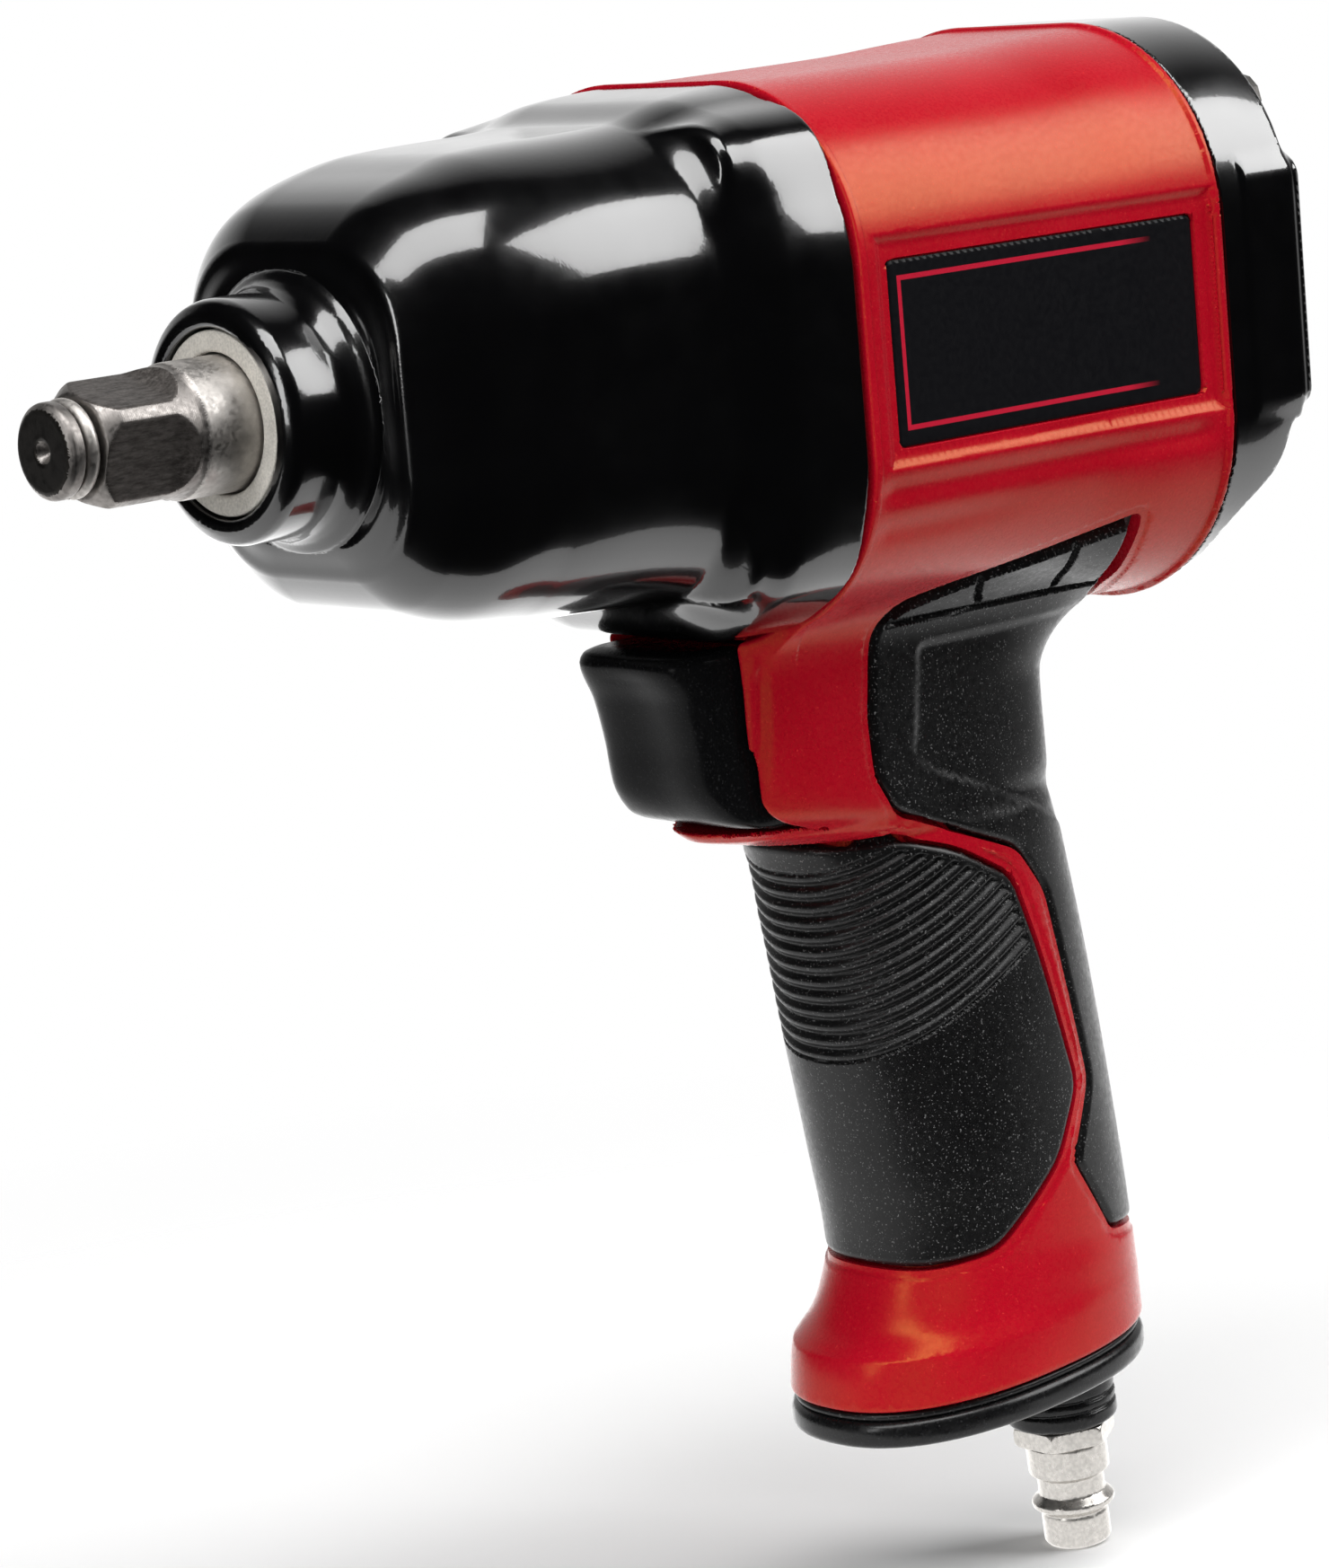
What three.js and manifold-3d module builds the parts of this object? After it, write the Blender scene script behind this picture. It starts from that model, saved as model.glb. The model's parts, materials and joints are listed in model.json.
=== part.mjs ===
// Pneumatic impact wrench with a pistol grip and a 12.7 mm square drive.
// Millimetres. +X is forward along the drive axis, +Z is up, +Y is the tool's left side.
// The origin is the centre of the anvil's nose face, so the whole tool lies at x <= 0.

import * as THREE from 'three';
import { mergeVertices } from 'three/addons/utils/BufferGeometryUtils.js';
import Module from 'manifold-3d';

const wasm = await Module();
wasm.setup();

// ---------------------------------------------------------------- driving dimensions

const GAP = 0.3;               // clearance between pieces that touch
const WELD = 1e-3;             // vertices closer than this are one
const TOLERANCE = 0.03;        // flatness allowed when a finished surface is thinned out
const OVERRUN = 1;             // how far a cutter runs past the face it cuts
const ROUND = 20;              // segments round a turned piece
const SMALL_ROUND = 12;        // segments round a screw or pin
const WIDE = 60;               // half width of a cutter that passes right through
const BEHIND = -200;           // x behind every piece, where cutters from the rear start
const CORNER_STEPS = 5;        // segments round each corner of a body section

const ANVIL = {
  noseR: 5.3, neckR: 5.9, grooveR: 4.5, flats: 12.7, turnedR: 8.07, journalR: 8.4, bodyR: 8.8,
  lobeR: 10, lobeWidth: 5, tipR: 4.8, grooveFront: -2.2, grooveBack: -4.8, flatsBack: -14,
  runoutBack: -18, twist: -18, front: 0, bodyFront: -52, bodyBack: -88, back: -94,
};
const BUSH = { outerR: 11.4, front: -26, back: -49.5 };
const COLLAR = {
  front: -25.5, faceR: 13.9, bandR: 15.1, coveX: -34, coveR: 15.3, lipX: -36.9, lipR: 17.4, root: -40,
};
const CAVITY = { radius: 24.4, front: -50.8 };
const FRONT_SEAM = -101.3;     // hammer case to motor housing
const REAR_SEAM = -167;        // motor housing to rear cover
const TOOL_BACK = -189.4;      // rear face of the cover

const CAGE = {
  outerR: 23.4, innerR: 20.4, front: -52.6, wall: 4, back: -96, hubR: 8,
  hubBack: -101.6, windowHalf: 11,
};
const PIN = { offset: 17.4, radius: 2.4, notchR: 4.5 };
const DOG = { outerR: 18.8, flatHalf: 17, holeR: 11.6, length: 15.6, gap: 0.8 };

const MOTOR = {
  shellR: 25.4, plateFront: -103, plateBack: -108.2, boreR: 21.2, boreRise: 2.2,
  rotorR: 18.5, rotorFront: -109.2, rotorBack: -149.2, shaftR: 5, shaftFront: -97.2, shaftBack: -155,
  endPlateFront: -149.9, endPlateBack: -155.4, vanes: 6, vaneThick: 2.2, vaneRoot: 11.4, vaneTip: 18.6,
};
const BEARING = { outerR: 11, innerR: 5.3 };
const VALVE = { blockFront: -155.8, blockBack: -166.4, spoolR: 11.4, stemR: 5, stemBack: -192.4 };
const KNOB = {
  radius: 10.5, front: -190, back: -196.5, leverHalf: 3.6, leverLow: 4.5, leverHigh: 2.5, screwHeadR: 3.5,
};
const BOLT = {
  offset: 23.6, shankR: 2.2, headR: 3.7, headLength: 3, tip: -87, seat: -182.4, lowSeat: -176.4,
  socketR: 1.8, socketDepth: 1.4, bossR: 6, bossRound: 1.5, bossFront: -85,
};

const COVER_RECESS = { depth: 11, radius: 17 };

const SHELL = 2.6;             // thickness of the rubber overmould
const LABEL_DEPTH = 1.1;
const TRIGGER = { half: 11.4, top: -37.9, back: -107, axisZ: -45, rodR: 2.2, rodBack: -127 };
const POCKET = { half: 12.2, front: -80, back: -116, top: -37.5, floor: -63.4 };
const CHAMBER = { radius: 7, back: -148.5 };
const EXHAUST = { radius: 2.8, side: 10.6 };
const FELT = { front: -126, back: -142, half: 8.4, top: -131 };
const NIPPLE = { tilt: 4.54, ridgeR: 5.88, grooveR: 4.75, bodyR: 5.75, tipR: 4.76, boreR: 3.6 };
const NIPPLE_RIDGE = new THREE.Vector3(-156.9, 0, -170.6);
const INLET_SEAT_R = 7.6;
const FOOT = { seamZ: -143.9, tilt: 4, gasket: 1, plate: 4.9, edge: 0.7 };
const FOOT_SCREWS = [[-117.5, 0], [-146.5, 12.6], [-146.5, -12.6]];

// Barrel sections from front to back: x, half width, height above and below the drive axis,
// corner radius.
const CASE_SECTIONS = [
  { x: -37.2, half: 17.8, top: 17.5, bottom: 17.8, corner: 11.6 },
  { x: -38.2, half: 20.4, top: 20, bottom: 20.4, corner: 12.6 },
  { x: -38.9, half: 21.4, top: 21, bottom: 21.4, corner: 13.2 },
  { x: -43, half: 25.2, top: 24.9, bottom: 25.2, corner: 16 },
  { x: -50, half: 27.8, top: 27.6, bottom: 27.8, corner: 18 },
  { x: -58, half: 29, top: 29.4, bottom: 29, corner: 20 },
  { x: -82, half: 30, top: 30.4, bottom: 30.6, corner: 20 },
  { x: -91, half: 33.4, top: 32.8, bottom: 36.4, corner: 22 },
  { x: FRONT_SEAM + GAP, half: 34.5, top: 33.8, bottom: 37, corner: 24 },
];
const BARREL_SECTIONS = [
  { x: FRONT_SEAM, half: 35, top: 34.2, bottom: 37.2, corner: 24 },
  { x: -120, half: 35.2, top: 34.4, bottom: 36.8, corner: 24 },
  { x: -142, half: 35.4, top: 34.8, bottom: 38, corner: 24.4 },
  { x: -156, half: 35.8, top: 35.6, bottom: 40.4, corner: 25 },
  { x: REAR_SEAM + GAP, half: 36, top: 36.2, bottom: 42.2, corner: 26 },
];
const COVER_SECTIONS = [
  { x: REAR_SEAM, half: 35.8, top: 36, bottom: 42, corner: 26 },
  { x: -180.4, half: 35.6, top: 35.8, bottom: 39.6, corner: 26 },
  { x: -181.8, half: 34.4, top: 34.6, bottom: 38.2, corner: 25 },
  { x: -184, half: 29.4, top: 30, bottom: 32, corner: 21 },
  { x: -187.6, half: 20, top: 21, bottom: 22, corner: 15 },
];
// Raised band across the middle of the cover.
const BAND_SECTIONS = [
  { x: -172, half: 35.7, top: 16.4, bottom: 17.8, corner: 2 },
  { x: -182.4, half: 35.6, top: 16.4, bottom: 17.8, corner: 2 },
  { x: -183.6, half: 34.6, top: 15.8, bottom: 17.2, corner: 2 },
  { x: -187, half: 30, top: 15, bottom: 16.2, corner: 2 },
  { x: TOOL_BACK, half: 23, top: 14, bottom: 15, corner: 2 },
];
// Side view of what is cut away behind the cover's lower rear face, below the band.
const COVER_CUT = [
  [BEHIND, -18.4], [-178.9, -18.9], [-178.2, -23], [-176.8, -26], [-173.4, -29], [-170.4, -32.4],
  [-169.4, -36], [-168.8, -46], [BEHIND, -46],
];
// Handle sections from the barrel down: z, front and back limits, half width, squareness.
const HANDLE_SECTIONS = [
  { z: -24, front: -93, back: -163, half: 16.4, power: 4.5 },
  { z: -36, front: -92.8, back: -163, half: 16.4, power: 4.5 },
  { z: -42, front: -92.6, back: -159, half: 16.4, power: 4 },
  { z: -50, front: -92.6, back: -153.8, half: 16.4, power: 3.8 },
  { z: -62, front: -94, back: -154.4, half: 16.6, power: 3.4 },
  { z: -65.4, front: -98.5, back: -155.2, half: 16.8, power: 2.7 },
  { z: -67.5, front: -109.8, back: -155.8, half: 17.2, power: 2.4 },
  { z: -80, front: -112.6, back: -158.4, half: 17.6, power: 2.3 },
  { z: -95, front: -115, back: -160.8, half: 17.8, power: 2.3 },
  { z: -112, front: -117.8, back: -163.2, half: 17.6, power: 2.3 },
  { z: -127, front: -119.8, back: -165, half: 17.4, power: 2.3 },
  { z: -131.5, front: -118.6, back: -165.4, half: 17.8, power: 2.3 },
  { z: -137.5, front: -112.4, back: -165.8, half: 18.6, power: 2.3, tilt: 3 },
  { z: FOOT.seamZ, front: -111.2, back: -166, half: 18.9, power: 2.3, tilt: FOOT.tilt },
];

// ---------------------------------------------------------------- geometry helpers

const axisX = new THREE.Vector3(1, 0, 0);
const rad = THREE.MathUtils.degToRad;

function signedVolume(geometry) {
  const p = geometry.attributes.position;
  const index = geometry.index;
  const [a, b, c] = [new THREE.Vector3(), new THREE.Vector3(), new THREE.Vector3()];
  let total = 0;
  for (let i = 0; i < index.count; i += 3) {
    a.fromBufferAttribute(p, index.getX(i));
    b.fromBufferAttribute(p, index.getX(i + 1));
    c.fromBufferAttribute(p, index.getX(i + 2));
    total += a.dot(b.cross(c));
  }
  return total;
}

// Welds a closed surface into a manifold solid, turned so that its faces look outwards.
function solid(geometry) {
  const bare = geometry.clone();
  bare.deleteAttribute('normal');
  bare.deleteAttribute('uv');
  const welded = mergeVertices(bare, WELD);
  const triVerts = new Uint32Array(welded.index.array);
  if (signedVolume(welded) < 0) {
    for (let i = 0; i < triVerts.length; i += 3) {
      [triVerts[i + 1], triVerts[i + 2]] = [triVerts[i + 2], triVerts[i + 1]];
    }
  }
  const vertProperties = new Float32Array(welded.attributes.position.array);
  return new wasm.Manifold(new wasm.Mesh({ numProp: 3, vertProperties, triVerts }));
}

// The largest body of a solid, without the slivers a cut can leave.
function mainBody(manifold) {
  const bodies = manifold.decompose();
  return bodies.reduce((best, body) => (body.volume() > best.volume() ? body : best));
}

function asGeometry(manifold) {
  const data = manifold.getMesh();
  const geometry = new THREE.BufferGeometry();
  geometry.setAttribute('position', new THREE.BufferAttribute(new Float32Array(data.vertProperties), 3));
  geometry.setIndex(new THREE.BufferAttribute(new Uint32Array(data.triVerts), 1));
  return geometry;
}

function meshOf(name, manifold, material) {
  const thinned = asGeometry(mainBody(manifold).simplify(TOLERANCE));
  const geometry = asGeometry(mainBody(solid(thinned)));
  geometry.computeVertexNormals();
  const mesh = new THREE.Mesh(geometry, material);
  mesh.name = name;
  return mesh;
}

// A closed skin through rings of equal length, with a fan at each end.
function loft(rings) {
  const count = rings[0].length;
  const positions = [];
  const indices = [];
  for (const ring of rings) {
    for (const p of ring) positions.push(p.x, p.y, p.z);
  }
  for (let r = 0; r + 1 < rings.length; r += 1) {
    for (let i = 0; i < count; i += 1) {
      const j = (i + 1) % count;
      const [a, b] = [r * count + i, r * count + j];
      indices.push(a, b, b + count, a, b + count, a + count);
    }
  }
  const capEnd = (offset, flip) => {
    const centre = new THREE.Vector3();
    for (let i = 0; i < count; i += 1) centre.add(rings[offset][i]);
    centre.divideScalar(count);
    const middle = positions.length / 3;
    positions.push(centre.x, centre.y, centre.z);
    for (let i = 0; i < count; i += 1) {
      const [a, b] = [offset * count + i, offset * count + ((i + 1) % count)];
      indices.push(middle, flip ? b : a, flip ? a : b);
    }
  };
  capEnd(0, true);
  capEnd(rings.length - 1, false);
  const geometry = new THREE.BufferGeometry();
  geometry.setAttribute('position', new THREE.Float32BufferAttribute(positions, 3));
  geometry.setIndex(indices);
  return solid(geometry);
}

// Rounded rectangle in the YZ plane, one corner after another.
function bodyRing({ x, half, top, bottom, corner }, inset = 0) {
  const [w, t, b, r] = [half - inset, top - inset, bottom - inset, corner - inset];
  const corners = [[w - r, t - r], [r - w, t - r], [r - w, r - b], [w - r, r - b]];
  const ring = [];
  corners.forEach(([y, z], k) => {
    for (let i = 0; i <= CORNER_STEPS; i += 1) {
      const angle = (k + i / CORNER_STEPS) * Math.PI / 2;
      ring.push(new THREE.Vector3(x, y + r * Math.cos(angle), z + r * Math.sin(angle)));
    }
  });
  return ring;
}

// Superellipse across the handle; a tilt lowers its front edge.
function handleRing({ z, front, back, half, power, tilt = 0 }, inset = 0) {
  const steps = 28;
  const middle = (front + back) / 2;
  const reach = (front - back) / 2 - inset;
  const ring = [];
  for (let i = 0; i < steps; i += 1) {
    const angle = 2 * Math.PI * i / steps;
    const [c, s] = [Math.cos(angle), Math.sin(angle)];
    const u = reach * Math.sign(c) * Math.abs(c) ** (2 / power);
    const v = (half - inset) * Math.sign(s) * Math.abs(s) ** (2 / power);
    ring.push(new THREE.Vector3(middle + u, v, z - u * Math.tan(rad(tilt))));
  }
  return ring;
}

// Turned piece about the X axis from [x, radius] pairs that start and end on the axis
// or close on themselves.
function turned(profile, segments = ROUND) {
  const points = profile.map(([x, r]) => new THREE.Vector2(r, x));
  const geometry = new THREE.LatheGeometry(points, segments);
  geometry.rotateZ(-Math.PI / 2);
  return solid(geometry);
}

function rod(from, to, radius, segments = ROUND) {
  return turned([[from, 0], [from, radius], [to, radius], [to, 0]], segments);
}

function tube(from, to, outer, inner, segments = ROUND) {
  return turned([[from, inner], [from, outer], [to, outer], [to, inner], [from, inner]], segments);
}

function box(x0, x1, y0, y1, z0, z1) {
  const geometry = new THREE.BoxGeometry(Math.abs(x1 - x0), Math.abs(y1 - y0), Math.abs(z1 - z0));
  geometry.translate((x0 + x1) / 2, (y0 + y1) / 2, (z0 + z1) / 2);
  return solid(geometry);
}

// Prism through both sides of the tool from an outline drawn in the XZ plane.
function sidePrism(outline, half) {
  const shape = new THREE.Shape(outline.map(([x, z]) => new THREE.Vector2(x, z)));
  const geometry = new THREE.ExtrudeGeometry(shape, { depth: 2 * half, bevelEnabled: false });
  geometry.translate(0, 0, -half);
  geometry.rotateX(Math.PI / 2);
  return solid(geometry);
}

// Moves a piece made along the X axis so that +X becomes the given direction.
function placed(manifold, position, direction) {
  const turn = new THREE.Quaternion().setFromUnitVectors(axisX, direction.clone().normalize());
  const matrix = new THREE.Matrix4().compose(position, turn, new THREE.Vector3(1, 1, 1));
  return manifold.transform(matrix.elements);
}

function coilSpring(start, end, coilR, wireR, turns) {
  class Helix extends THREE.Curve {
    getPoint(t, target = new THREE.Vector3()) {
      const angle = 2 * Math.PI * turns * t;
      const along = THREE.MathUtils.lerp(start, end, t);
      return target.set(along, coilR * Math.cos(angle), coilR * Math.sin(angle));
    }
  }
  const wire = new THREE.Shape();
  wire.absarc(0, 0, wireR, 0, 2 * Math.PI, false);
  const geometry = new THREE.ExtrudeGeometry(wire, {
    steps: turns * 7, extrudePath: new Helix(), curveSegments: 3,
  });
  return solid(geometry);
}

// ---------------------------------------------------------------- materials

function finish(color, roughness, metalness) {
  return new THREE.MeshStandardMaterial({ color, roughness, metalness });
}

const MATERIAL = {
  steel: finish(0x8f8c88, 0.32, 1),
  darkSteel: finish(0x4a4744, 0.4, 1),
  paint: finish(0x08080a, 0.12, 0.2),
  red: finish(0xa80e1c, 0.4, 0),
  rubber: finish(0x141415, 0.8, 0),
  label: finish(0x0c0c0e, 0.35, 0),
  plastic: finish(0x101011, 0.45, 0),
  nickel: finish(0xc9c5bd, 0.22, 1),
  bronze: finish(0x9a7444, 0.38, 1),
  bush: finish(0xa39d90, 0.5, 1),
  vane: finish(0x5a4630, 0.6, 0),
  felt: finish(0xa7a096, 0.95, 0),
};

const tool = new THREE.Group();
tool.name = 'impact_wrench';

function addPiece(name, manifold, material) {
  tool.add(meshOf(name, manifold, material));
}

// ---------------------------------------------------------------- anvil and clutch

function anvil() {
  const a = ANVIL;
  const blank = turned([
    [a.front, 0], [a.front, a.noseR], [-0.6, a.neckR], [a.grooveFront, a.neckR],
    [a.grooveFront, a.grooveR], [a.grooveBack, a.grooveR], [a.grooveBack, a.neckR + 0.6],
    [-6.6, a.turnedR], [a.runoutBack, a.turnedR], [a.runoutBack - 0.6, a.journalR],
    [a.bodyFront + GAP, a.journalR], [a.bodyFront, a.bodyR], [a.bodyBack, a.bodyR],
    [a.bodyBack, a.tipR], [a.back, a.tipR], [a.back, 0],
  ]);
  const across = a.flats / 2;
  const wide = 2 * a.bodyR;
  const square = (x, half) => [[1, 1], [-1, 1], [-1, -1], [1, -1]]
    .map(([y, z]) => new THREE.Vector3(x, y * half, z * half));
  const prism = loft([
    square(a.front + OVERRUN, across), square(a.flatsBack, across),
    square(a.runoutBack, a.journalR + OVERRUN), square(a.runoutBack - OVERRUN, wide),
    square(a.back - OVERRUN, wide),
  ]).rotate([a.twist, 0, 0]);
  const lobe = box(a.bodyFront - GAP, a.bodyBack + GAP, -a.lobeWidth / 2, a.lobeWidth / 2, 0, a.lobeR);
  return blank.intersect(prism).add(lobe).add(lobe.rotate([180, 0, 0]));
}

function frictionRing() {
  const a = ANVIL;
  const ring = tube(a.grooveBack + GAP, a.grooveFront - GAP, a.neckR + 0.1, a.grooveR + GAP);
  const split = box(a.grooveBack, a.grooveFront, -0.5, 0.5, -2 * a.neckR, 0);
  return ring.subtract(split);
}

function hammerCage() {
  const c = CAGE;
  const frontWall = tube(c.front - c.wall, c.front, c.outerR, ANVIL.lobeR + 2 * GAP);
  const rearWall = tube(c.back, c.back + c.wall, c.outerR, ANVIL.tipR + GAP);
  const hub = tube(c.hubBack, c.back + OVERRUN, c.hubR, MOTOR.shaftR + GAP);
  const shell = tube(c.back, c.front, c.outerR, c.innerR);
  const windows = box(c.back + c.wall, c.front - c.wall, -c.windowHalf, c.windowHalf, -WIDE, WIDE);
  let cage = shell.subtract(windows).add(frontWall).add(rearWall).add(hub);
  for (const side of [1, -1]) {
    const hole = rod(c.back - OVERRUN, c.front + OVERRUN, PIN.radius + GAP, SMALL_ROUND);
    cage = cage.subtract(hole.translate([0, 0, side * PIN.offset]));
  }
  return cage;
}

// A dog rocks on the pin at +Z and clears the other pin with an open notch.
function hammerDog(front, side) {
  const back = front - DOG.length;
  const blank = tube(back, front, DOG.outerR, DOG.holeR);
  const flats = box(back - OVERRUN, front + OVERRUN, -DOG.flatHalf, DOG.flatHalf, -WIDE, WIDE);
  const pivot = rod(back - OVERRUN, front + OVERRUN, PIN.radius + GAP, SMALL_ROUND);
  const notch = rod(back - OVERRUN, front + OVERRUN, PIN.notchR, 16);
  const dog = blank.intersect(flats)
    .subtract(pivot.translate([0, 0, PIN.offset]))
    .subtract(notch.translate([0, 0, -PIN.offset - 0.2]));
  return side > 0 ? dog : dog.rotate([180, 0, 0]);
}

function addClutch() {
  addPiece('anvil', anvil(), MATERIAL.steel);
  addPiece('friction_ring', frictionRing(), MATERIAL.darkSteel);
  addPiece('anvil_bush', tube(BUSH.back, BUSH.front, BUSH.outerR, ANVIL.journalR + GAP), MATERIAL.bush);
  addPiece('hammer_cage', hammerCage(), MATERIAL.steel);
  const dogFront = CAGE.front - CAGE.wall - DOG.gap;
  addPiece('hammer_dog_front', hammerDog(dogFront, 1), MATERIAL.darkSteel);
  addPiece('hammer_dog_rear', hammerDog(dogFront - DOG.length - DOG.gap, -1), MATERIAL.darkSteel);
  for (const [name, side] of [['upper', 1], ['lower', -1]]) {
    const pin = rod(CAGE.back + GAP, CAGE.front - GAP, PIN.radius, SMALL_ROUND);
    addPiece(`hammer_pin_${name}`, pin.translate([0, 0, side * PIN.offset]), MATERIAL.steel);
  }
}

// ---------------------------------------------------------------- hammer case

function boltPositions() {
  const s = BOLT.offset;
  return [[s, s], [-s, s], [-s, -s], [s, -s]];
}

// Where a bolt's head bears on the cover: the lower pair sits further forward.
function boltSeat(z) {
  return z > 0 ? BOLT.seat : BOLT.lowSeat;
}

// Rounded lugs that carry the long bolts at the four corners.
function addBosses(body, from, to) {
  const r = BOLT.bossR;
  const round = Math.sign(to - from) * BOLT.bossRound;
  const lug = turned([[from, 0], [from, r], [to - round, r], [to, r - BOLT.bossRound], [to, 0]], 16);
  return boltPositions().reduce((left, [y, z]) => left.add(lug.translate([0, y, z])), body);
}

function drillBolts(body, from, to) {
  return boltPositions().reduce((left, [y, z]) => {
    const hole = rod(from, to, BOLT.shankR + GAP, SMALL_ROUND).translate([0, y, z]);
    return left.subtract(hole);
  }, body);
}

function hammerCase() {
  const c = COLLAR;
  const collar = turned([
    [c.front, 0], [c.front, c.faceR], [c.front - 1.5, c.bandR], [c.coveX, c.coveR],
    [c.lipX, c.lipR], [c.root, c.lipR], [c.root, 0],
  ]);
  const body = loft(CASE_SECTIONS.map((section) => bodyRing(section)));
  const bushBore = rod(CAVITY.front - OVERRUN, c.front + OVERRUN, BUSH.outerR + GAP);
  const cavity = rod(FRONT_SEAM - OVERRUN, CAVITY.front, CAVITY.radius);
  const whole = addBosses(body.add(collar), FRONT_SEAM + GAP, BOLT.bossFront);
  return drillBolts(whole.subtract(bushBore).subtract(cavity), FRONT_SEAM - OVERRUN, BOLT.tip + 2);
}

// ---------------------------------------------------------------- air motor

function rotorAssembly() {
  const m = MOTOR;
  let rotor = turned([
    [m.shaftFront, 0], [m.shaftFront, m.shaftR], [m.rotorFront, m.shaftR], [m.rotorFront, m.rotorR],
    [m.rotorBack, m.rotorR], [m.rotorBack, m.shaftR], [m.shaftBack, m.shaftR], [m.shaftBack, 0],
  ]);
  const [halfSlot, halfVane] = [m.vaneThick / 2 + GAP, m.vaneThick / 2];
  const slot = box(m.rotorBack - 0.1, m.rotorFront + 0.1, -halfSlot, halfSlot, m.vaneRoot - GAP, 30);
  const vane = box(m.rotorBack + GAP, m.rotorFront - GAP, -halfVane, halfVane, m.vaneRoot, m.vaneTip);
  for (let i = 0; i < m.vanes; i += 1) {
    const turn = [i * 360 / m.vanes, 0, 0];
    rotor = rotor.subtract(slot.rotate(turn));
    addPiece(`vane_${i + 1}`, vane.rotate(turn), MATERIAL.vane);
  }
  addPiece('rotor', rotor, MATERIAL.steel);
}

function endPlate(front, back) {
  const inner = front > MOTOR.rotorBack ? back : front;
  const outer = front > MOTOR.rotorBack ? front : back;
  const web = Math.sign(outer - inner) * 1.2;
  return tube(inner, inner + web, MOTOR.shellR, MOTOR.shaftR + 1)
    .add(tube(inner + web, outer, MOTOR.shellR, BEARING.outerR + GAP));
}

function addMotor() {
  const m = MOTOR;
  rotorAssembly();
  const liner = rod(m.rotorBack - GAP, m.rotorFront + GAP, m.shellR, 32);
  const bore = rod(m.rotorBack - OVERRUN, m.rotorFront + OVERRUN, m.boreR, 32);
  addPiece('cylinder_liner', liner.subtract(bore.translate([0, 0, m.boreRise])), MATERIAL.darkSteel);
  addPiece('front_end_plate', endPlate(m.plateFront, m.plateBack), MATERIAL.steel);
  addPiece('rear_end_plate', endPlate(m.endPlateFront, m.endPlateBack), MATERIAL.steel);
  const race = (from, to) => tube(from, to, BEARING.outerR, BEARING.innerR);
  addPiece('front_bearing', race(m.plateBack + 1.6, m.plateFront - 0.2), MATERIAL.nickel);
  addPiece('rear_bearing', race(m.endPlateBack + 0.2, m.endPlateFront - 1.6), MATERIAL.nickel);
}

// ---------------------------------------------------------------- reverse valve

function addReverseValve() {
  const v = VALVE;
  const port = rod(-20, 20, 3, SMALL_ROUND).rotate([0, 90, 0]).rotate([90, 0, 0]);
  const portX = (v.blockFront + v.blockBack) / 2;
  const block = tube(v.blockBack, v.blockFront, MOTOR.shellR, v.spoolR + GAP)
    .subtract(port.scale([1, 2, 1]).translate([portX, 0, 0]));
  addPiece('valve_bushing', block, MATERIAL.darkSteel);
  const spool = rod(v.blockBack, v.blockFront, v.spoolR)
    .add(rod(v.stemBack, v.blockBack + OVERRUN, v.stemR))
    .subtract(box(v.blockBack + 2, v.blockFront - 2, -WIDE, WIDE, 4, WIDE));
  const tapped = rod(v.stemBack - OVERRUN, v.stemBack + 9, 1.8, SMALL_ROUND);
  addPiece('selector_spool', spool.subtract(tapped), MATERIAL.steel);
  const k = KNOB;
  const grip = box(k.back, k.front - 2.4, -k.radius - k.leverLow, k.radius + k.leverHigh,
    -k.leverHalf, k.leverHalf);
  const disc = turned([
    [k.front, 0], [k.front, k.radius], [k.back + 1, k.radius], [k.back, k.radius - 1], [k.back, 0],
  ]);
  const seat = rod(k.back - OVERRUN, k.back + 2, k.screwHeadR + GAP + 0.1, SMALL_ROUND);
  const knob = disc.add(grip).subtract(rod(v.stemBack - GAP, k.front + OVERRUN, v.stemR + GAP))
    .subtract(seat).subtract(rod(k.back - OVERRUN, k.front, 2.1, SMALL_ROUND));
  addPiece('selector_knob', knob, MATERIAL.plastic);
  const screw = rod(k.back - 0.2, k.back + 1.7, k.screwHeadR, SMALL_ROUND)
    .add(rod(k.back + 1, v.stemBack + 7, 1.5, SMALL_ROUND));
  addPiece('selector_screw', screw, MATERIAL.darkSteel);
}

// ---------------------------------------------------------------- rear cover

function addRearCover() {
  const dome = loft(COVER_SECTIONS.map((section) => bodyRing(section)));
  const band = loft(BAND_SECTIONS.map((section) => bodyRing(section)));
  let cover = dome.subtract(sidePrism(COVER_CUT, WIDE)).add(band)
    .subtract(rod(REAR_SEAM - COVER_RECESS.depth, REAR_SEAM + OVERRUN, COVER_RECESS.radius))
    .subtract(rod(BEHIND, REAR_SEAM, VALVE.stemR + GAP));
  for (const [y, z] of boltPositions()) {
    const counterbore = rod(BEHIND, boltSeat(z) + GAP, BOLT.headR + 0.5, SMALL_ROUND);
    cover = cover.subtract(counterbore.translate([0, y, z]));
  }
  addPiece('rear_cover', drillBolts(cover, BEHIND, REAR_SEAM + OVERRUN), MATERIAL.paint);
  boltPositions().forEach(([y, z], i) => {
    const seat = boltSeat(z);
    const back = seat - BOLT.headLength;
    const bolt = rod(seat, BOLT.tip, BOLT.shankR, SMALL_ROUND)
      .add(rod(back, seat, BOLT.headR, SMALL_ROUND))
      .subtract(rod(back - OVERRUN, back + BOLT.socketDepth, BOLT.socketR, 6));
    addPiece(`cover_bolt_${i + 1}`, bolt.translate([0, y, z]), MATERIAL.darkSteel);
  });
}

// ---------------------------------------------------------------- housing and overmoulds

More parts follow.
